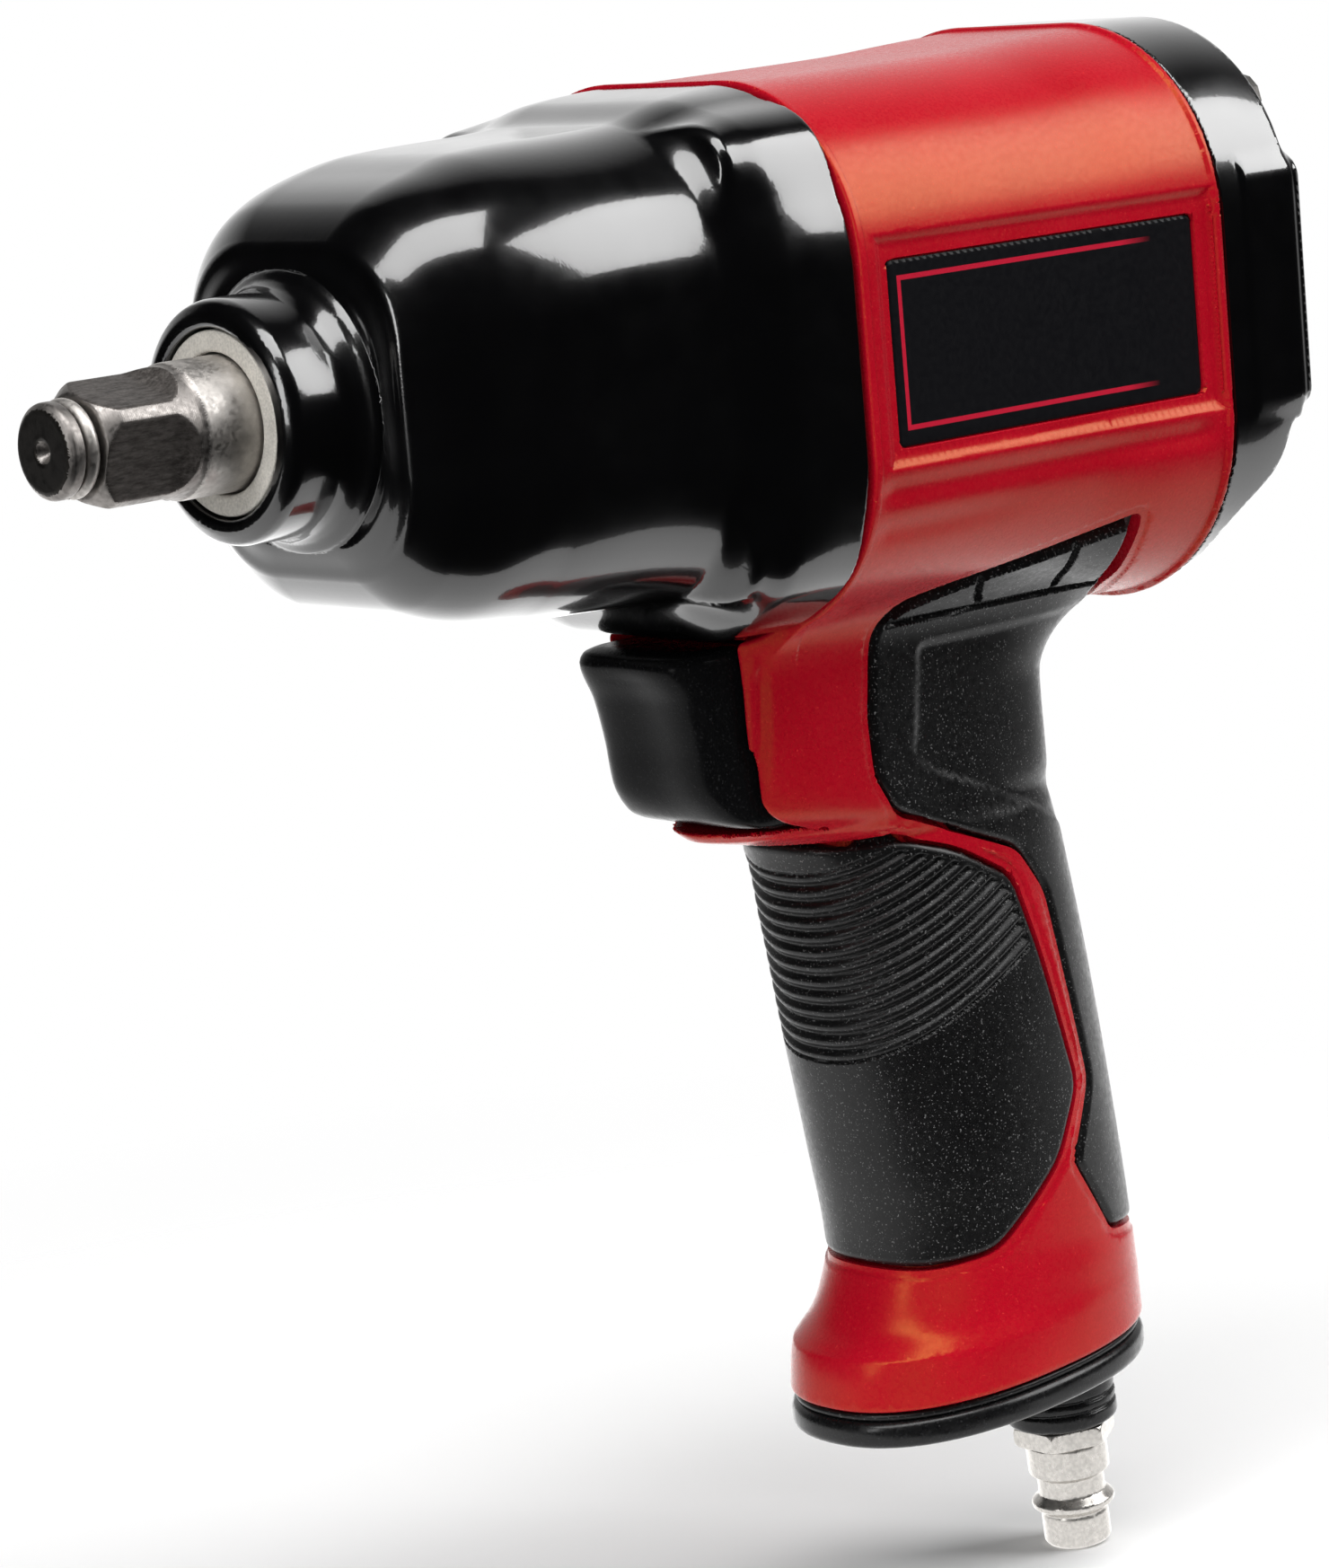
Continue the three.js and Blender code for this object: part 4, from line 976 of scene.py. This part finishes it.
DRIVE_END = rounded([
    (0, -2), (0, 5.0), (-0.7, 5.9), (-2.2, 5.9), (-2.2, 4.5), (-4.8, 4.5), (-4.8, 6.5), (-6.6, 8.07),
    (-18, 8.07), (-18.5, 8.4), (-51.7, 8.4), (-52, 8.8), (-88, 8.8), (-88, 4.8), (-94, 4.8), (-94, -2),
], 0.35, 4)
FLATS_HALF, FLATS_BACK, ANVIL_TWIST = 6.35, -14, math.radians(-18)


def square_field(p):
    """Square across the drive end, with runouts that rise out of the flats at the back."""
    x, y, z = p.T
    u = y * math.cos(ANVIL_TWIST) + z * math.sin(ANVIL_TWIST)
    v = z * math.cos(ANVIL_TWIST) - y * math.sin(ANVIL_TWIST)
    rise = np.maximum(FLATS_BACK - x, 0)
    half = FLATS_HALF + rise * rise * 0.16 * step(FLATS_BACK, FLATS_BACK - 1, x)
    half = half + np.maximum(rise - 4, 0) * 5
    return smooth_max(np.abs(u), np.abs(v), 0.2) - half


def anvil_field(p):
    x, y, z = p.T
    radius = np.hypot(y, z)
    body = smooth_max(distance_to(DRIVE_END, x, radius), square_field(p), 0.25)
    centre = np.maximum(radius - 1.5 - np.minimum(x, 0) * 0.8, -x - 2.2)
    body = cut(body, centre, 0.3)
    lobes = cuboid(np.stack([x, y, np.abs(z)], 1), -87.7, -52.3, -2.5, 2.5, 0, 10)
    return smooth_min(body, lobes, 0.4)


def anvil_kind(middle):
    """0 on turned surfaces, 1 on the milled flats, 2 on the ground journal, 3 on the nose's face, which
    is darkened as painted shade.
    """
    flat = np.abs(square_field(middle)) < 0.12
    x = middle[:, 0]
    return np.select([flat & (x < -4.7) & (x > -18.4), x < -18.4, x > -0.15], [1, 2, 3], 0)


def add_drive_end():
    field_piece("anvil_forging", "anvil", anvil_field, ((-96, -11.5, -11.5), (1.5, 11.5, 11.5)), 0.6,
                "anvil", "steel", lambda p: np.where(p[:, 0] > -27, 0.45, 2.0), 3, 0.16,
                materials=[LOOKS["steel"], MILLED, JOURNAL, NOSE_FACE_PAINTED_SHADE], kind=anvil_kind)

    def ring(p):
        around = np.hypot(np.hypot(p[:, 1], p[:, 2]) - 5.25, p[:, 0] + 3.5) - 0.85
        gap = smooth_max(np.abs(p[:, 1]) - 0.4, p[:, 2], 0.1)
        return cut(around, gap, 0.2)
    field_piece("friction_ring_wire", "friction_ring", ring, ((-5, -7, -7), (-2, 7, 7)), 0.3, "anvil",
                "steel", materials=[JOURNAL])
    outline = rounded([(-49.5, 8.7), (-49.5, 11.4), (-26, 11.4), (-26, 8.7)], 0.4, 4)
    field_piece("anvil_bush_ring", "anvil_bush",
                lambda p: distance_to(outline, p[:, 0], np.hypot(p[:, 1], p[:, 2])),
                ((-51, -12.5, -12.5), (-24, 12.5, 12.5)), 0.7, "housing", "bush_metal", least=0.2)


# ---- trigger, foot and inlet


def trigger_field(p):
    """The trigger, with a shallow finger hollow in its face and a socket for its rod."""
    x, y, z = p.T
    front = trigger_front(z)
    ahead = step(-100, -92, x)
    hollow = 0.5 * np.exp(-(y / 6) ** 2) * step(-39.5, -42, z) * step(-61, -56, z)
    across = superellipse(x - (front + TRIGGER_BACK) / 2, y, (front - TRIGGER_BACK) / 2, TRIGGER_HALF, 5)
    body = smooth_max(across + hollow * ahead, slab(z, TRIGGER_LOW + 0.2 * ahead, TRIGGER_TOP), 2.2)
    socket = smooth_max(rod_x(p, ROD_BORE, TRIGGER_AXIS_Z), slab(x, -110, -98), 0.3)
    return cut(body, socket, 0.3)


FOOT_MIDDLE, FOOT_REACH, FOOT_HALF = -138.6, 27.4, 18.9


def foot_depth(p):
    """How far below the foot's tilted seam."""
    return FOOT_SEAM - p[:, 2] - (p[:, 0] - FOOT_MIDDLE) * math.tan(FOOT_TILT)


def foot_layer(p, top, low, inset, edge):
    """Flat piece that follows the foot's outline between two depths below the seam."""
    across = superellipse(p[:, 0] - FOOT_MIDDLE, p[:, 1], FOOT_REACH - inset, FOOT_HALF - inset, 2.3)
    return smooth_max(across, slab(foot_depth(p), top, low), edge)


FOOT_SCREWS, SCREW_HEAD_BORE, SCREW_BORE = ((-117.5, 0), (-146.5, 12.6), (-146.5, -12.6)), 3.3, 1.7
EXHAUST_Y, EXHAUST_X, EXHAUST_REACH, EXHAUST_HALF = (-5.4, 0, 5.4), -134, 5.1, 1.5


def plate_field(p):
    """The foot's lower tier, with three exhaust slots, three screw holes and the inlet's hole."""
    x, y, z = p.T
    body = foot_layer(p, 1.3, 5.2, 0, 1.6)
    body = cut(body, inlet_frame(p)[1] - 7.9, 0.4)
    for place in EXHAUST_Y:
        beyond = np.maximum(np.abs(x - EXHAUST_X) - EXHAUST_REACH, 0)
        slot = np.hypot(y - place, beyond) - EXHAUST_HALF
        body = cut(body, smooth_max(slot, slab(z, -170, -130), 0.1), 0.5)
    for place, side in FOOT_SCREWS:
        r = np.hypot(x - place, y - side)
        body = cut(body, smooth_max(r - SCREW_HEAD_BORE, 3.0 - foot_depth(p), 0.2), 0.3)
        body = cut(body, r - SCREW_BORE, 0.3)
    return body


def gasket_field(p):
    body = foot_layer(p, 0.3, 1.3, 0.6, 0.6)
    body = cut(body, inlet_frame(p)[1] - SEAT_R, 0.3)
    return cut(body, cuboid(p, *FELT_X, -FELT_HALF, FELT_HALF, -160, -130, 0.3), 0.3)


BUSHING_OUTLINE = rounded([
    (-40, 4.4), (-40, 7.3), (-21.2, 7.3), (-21.2, 7.9), (-16.7, 7.9), (-16.5, 7.5), (-16.2, 7.5),
    (-16, 7.9), (-15.1, 7.9), (-14.9, 7.5), (-14.6, 7.5), (-14.4, 7.9), (-12.7, 7.9), (-12.2, 7.4),
    (-12.2, 5.6), (-26, 5.6), (-26, 4.4),
], 0.3, 3)
NIPPLE_OUTLINE = rounded([
    (-25, 3.6), (-25, 5.3), (-9.4, 5.3), (-8.8, 5.75), (-4.6, 5.75), (-4, 4.75), (-1.4, 4.75),
    (-0.35, 5.88), (0.35, 5.88), (1.3, 4.55), (1.8, 4.76), (5.6, 4.76), (6.14, 4.26), (6.14, 3.9),
    (5.6, 3.6),
], 0.22, 3)


def nipple_field(p):
    along, radius, angle = inlet_frame(p)
    sector = math.pi / 3
    hexagon = radius * np.cos((angle + sector / 2) % sector - sector / 2) - 7.4 * math.cos(sector / 2)
    hexagon = smooth_max(hexagon, radius + 0.55 * (np.abs(along + 10.55) - 0.9) - 7.3, 0.1)
    hexagon = smooth_max(hexagon, slab(along, -11.9, -9.2), 0.15)
    hexagon = smooth_max(hexagon, 4.1 - radius, 0.1)
    return smooth_min(distance_to(NIPPLE_OUTLINE, along, radius), hexagon, 0.2)


def inlet_box(start, end, radius):
    """Box round the part of the inlet axis between two distances past the ridge."""
    axis = np.array([-math.sin(INLET_TILT), 0, -math.cos(INLET_TILT)])
    ends = np.array(INLET_RIDGE) + np.outer((start, end), axis)
    return ends.min(0) - radius, ends.max(0) + radius


def add_grip_parts():
    field_piece("trigger_shoe", "trigger", trigger_field, ((-109, -13, -65), (-84, 13, -35)), 0.8,
                "trigger", "black_plastic", least=0.35, materials=[SHADED_TRIGGER_PLASTIC])
    foot = ((-168, -21, -154), (-109, 21, -140))
    field_piece("foot_cap", "foot_plate", plate_field, foot, 0.8, "housing", "black_plastic")
    field_piece("foot_seal", "foot_gasket", gasket_field, foot, 0.45, "housing", "grip_rubber",
                rounds=1, least=0.25)
    field_piece("inlet_collar", "inlet_bushing",
                lambda p: distance_to(BUSHING_OUTLINE, *inlet_frame(p)[:2]),
                inlet_box(-42, -10, 9.5), 0.6, "housing", "black_plastic", least=0.15)
    field_piece("air_nipple_turned", "air_nipple", nipple_field, inlet_box(-27, 8, 8.5), 0.4,
                "housing", "nickel", least=0.12)


# Each spring's name, rear and front ends, coil radius, turns and the share of its length that
# is left when the trigger is pulled right in.
SPRINGS = (
    ("trigger_spring", -115.2, -107.8, 4.2, 4, 0.18),
    ("throttle_spring", -147.8, -135.2, 3.8, 5, 0.48),
)
WIRE_R = 0.5


def coil(rear, front, radius, turns, around=12, per_turn=28):
    """Round wire wound about the trigger's axis, closed at both ends: points, faces and normals."""
    steps = turns * per_turn
    t = np.linspace(0, 1, steps + 1)
    turn = 2 * math.pi * turns * t
    out = np.stack([0 * turn, np.cos(turn), np.sin(turn)], 1)
    centre = radius * out + TRIGGER_AXIS_Z * AXES[2]
    centre[:, 0] = rear + (front - rear) * t
    angle = 2 * math.pi * np.arange(around) / around
    normal = (np.cos(angle)[None, :, None] * out[:, None]
              + np.sin(angle)[None, :, None] * AXES[0]).reshape(-1, 3)
    points = np.repeat(centre, around, axis=0) + WIRE_R * normal
    i, k = np.arange(steps)[:, None] * around, np.arange(around)[None, :]
    a, b = (i + k).ravel(), (i + (k + 1) % around).ravel()
    halves = (a, b + around, b), (a, a + around, b + around)
    sides = np.concatenate([np.stack(half, 1) for half in halves])
    fan = np.stack([np.zeros(around - 2, int), np.arange(1, around - 1), np.arange(2, around)], 1)
    return points, np.concatenate([sides, fan, fan[:, ::-1] + steps * around]), normal


def add_springs():
    for name, rear, front, radius, turns, keep in SPRINGS:
        points, faces, smooth = coil(rear, front, radius, turns)
        normals = corner_normals(points, faces, smooth, 60)
        piece = make_object(f"{name}_coil", points, faces, normals, "housing", "steel", [name])
        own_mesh(piece)


# ---- stage

CASE_CENTRE = Vector((-0.07, 0, 0))
BOX_GLOW = 6.8


def from_case(azimuth, rise, distance):
    """Place at a distance from the case's centre, in a direction given in degrees."""
    a, e = math.radians(azimuth), math.radians(rise)
    flat = math.cos(e)
    return CASE_CENTRE + distance * Vector((math.cos(a) * flat, math.sin(a) * flat, math.sin(e)))


def soft_box(name, place, target, width, height, glow, turn=0):
    """Rectangular light facing the target, with the given radiance, that the camera doesn't see."""
    data = bpy.data.lights.new(name, "AREA")
    data.shape, data.size, data.size_y = "RECTANGLE", width, height
    data.energy = glow * width * height * math.pi
    light = new_object(name, data)
    aim = (target - place).to_track_quat("-Z", "Y")
    light.matrix_world = (Matrix.Translation(place) @ aim.to_matrix().to_4x4()
                          @ Matrix.Rotation(math.radians(turn), 4, "Z"))
    light.visible_camera = False
    return light


def add_lights():
    over = CASE_CENTRE + Vector((0.57, 0.3, 1.0))
    soft_box("overhead_box", over, over - Vector((0, 0, 1)), 1.8, 0.62, BOX_GLOW, -14)
    soft_box("front_strip", from_case(2, 9, 0.8), CASE_CENTRE, 0.13, 0.38, BOX_GLOW)
    soft_box("rear_box", from_case(141, 32, 1.0), CASE_CENTRE, 0.6, 0.58, BOX_GLOW)
    fill = soft_box("fill_box", from_case(49, 0, 1.2), CASE_CENTRE, 1.0, 1.0, 2.1)
    fill.visible_glossy = False
    # The pale table's reflection, which ends just on the camera's side of the tool.
    edge, inward = Vector((-0.07, 0.067, CAD_LOW.z - 0.002)), Vector((-0.41, -0.91, 0)).normalized()
    table = edge + 0.45 * inward
    card = soft_box("table_card", table, table + Vector((0, 0, 1)), 1.3, 0.9, 1.15, 24)
    card.visible_diffuse = False


FLOOR_X, FLOOR_REACH = -0.1, 0.9


def add_floor():
    """White table under the tool that fades out to the white world."""
    low = CAD_LOW.z
    corners = [(FLOOR_X + side * FLOOR_REACH, end * FLOOR_REACH, low)
               for side, end in ((-1, -1), (1, -1), (1, 1), (-1, 1))]
    mesh = bpy.data.meshes.new("floor")
    mesh.from_pydata(corners, [], [(0, 1, 2, 3)])
    floor = new_object("floor", mesh)
    floor.visible_glossy = False
    floor.visible_shadow = False
    p = Paint("floor_paint", (0.92, 0.92, 0.92), 0.9)
    p.color(p.noise(120, 3), (0.91, 0.91, 0.91), (0.93, 0.93, 0.93))
    away = p.vector("DISTANCE", (FLOOR_X, 0, low))
    p.feed(p.shader["Alpha"], p.spread(away, 0.07, 0.36, 1.0, 0.0))
    mesh.materials.append(p.material)


def add_world():
    """White where the camera sees it and behind the tool, nearly black elsewhere."""
    world = bpy.data.worlds.new("studio")
    sky = Nodes(world, "Generated")
    facing = sky.vector("DOT_PRODUCT", from_case(-131, 0, 1.0) - CASE_CENTRE)
    behind = sky.spread(facing, 0.45, 0.95, 0.004, 0.9)
    seen = sky.node("ShaderNodeLightPath").outputs["Is Camera Ray"]
    background = sky.tree.nodes["Background"].inputs
    sky.feed(background["Strength"], sky.math("MAXIMUM", behind, seen))
    sky.feed(background["Color"], (1, 1, 1))
    bpy.context.scene.world = world
    bpy.context.scene.view_settings.view_transform = "Standard"


dress_frame()
add_camera()
add_lights()
add_floor()
add_world()
add_case()
add_cover()
add_housing()
add_drive_end()
add_grip_parts()
add_springs()
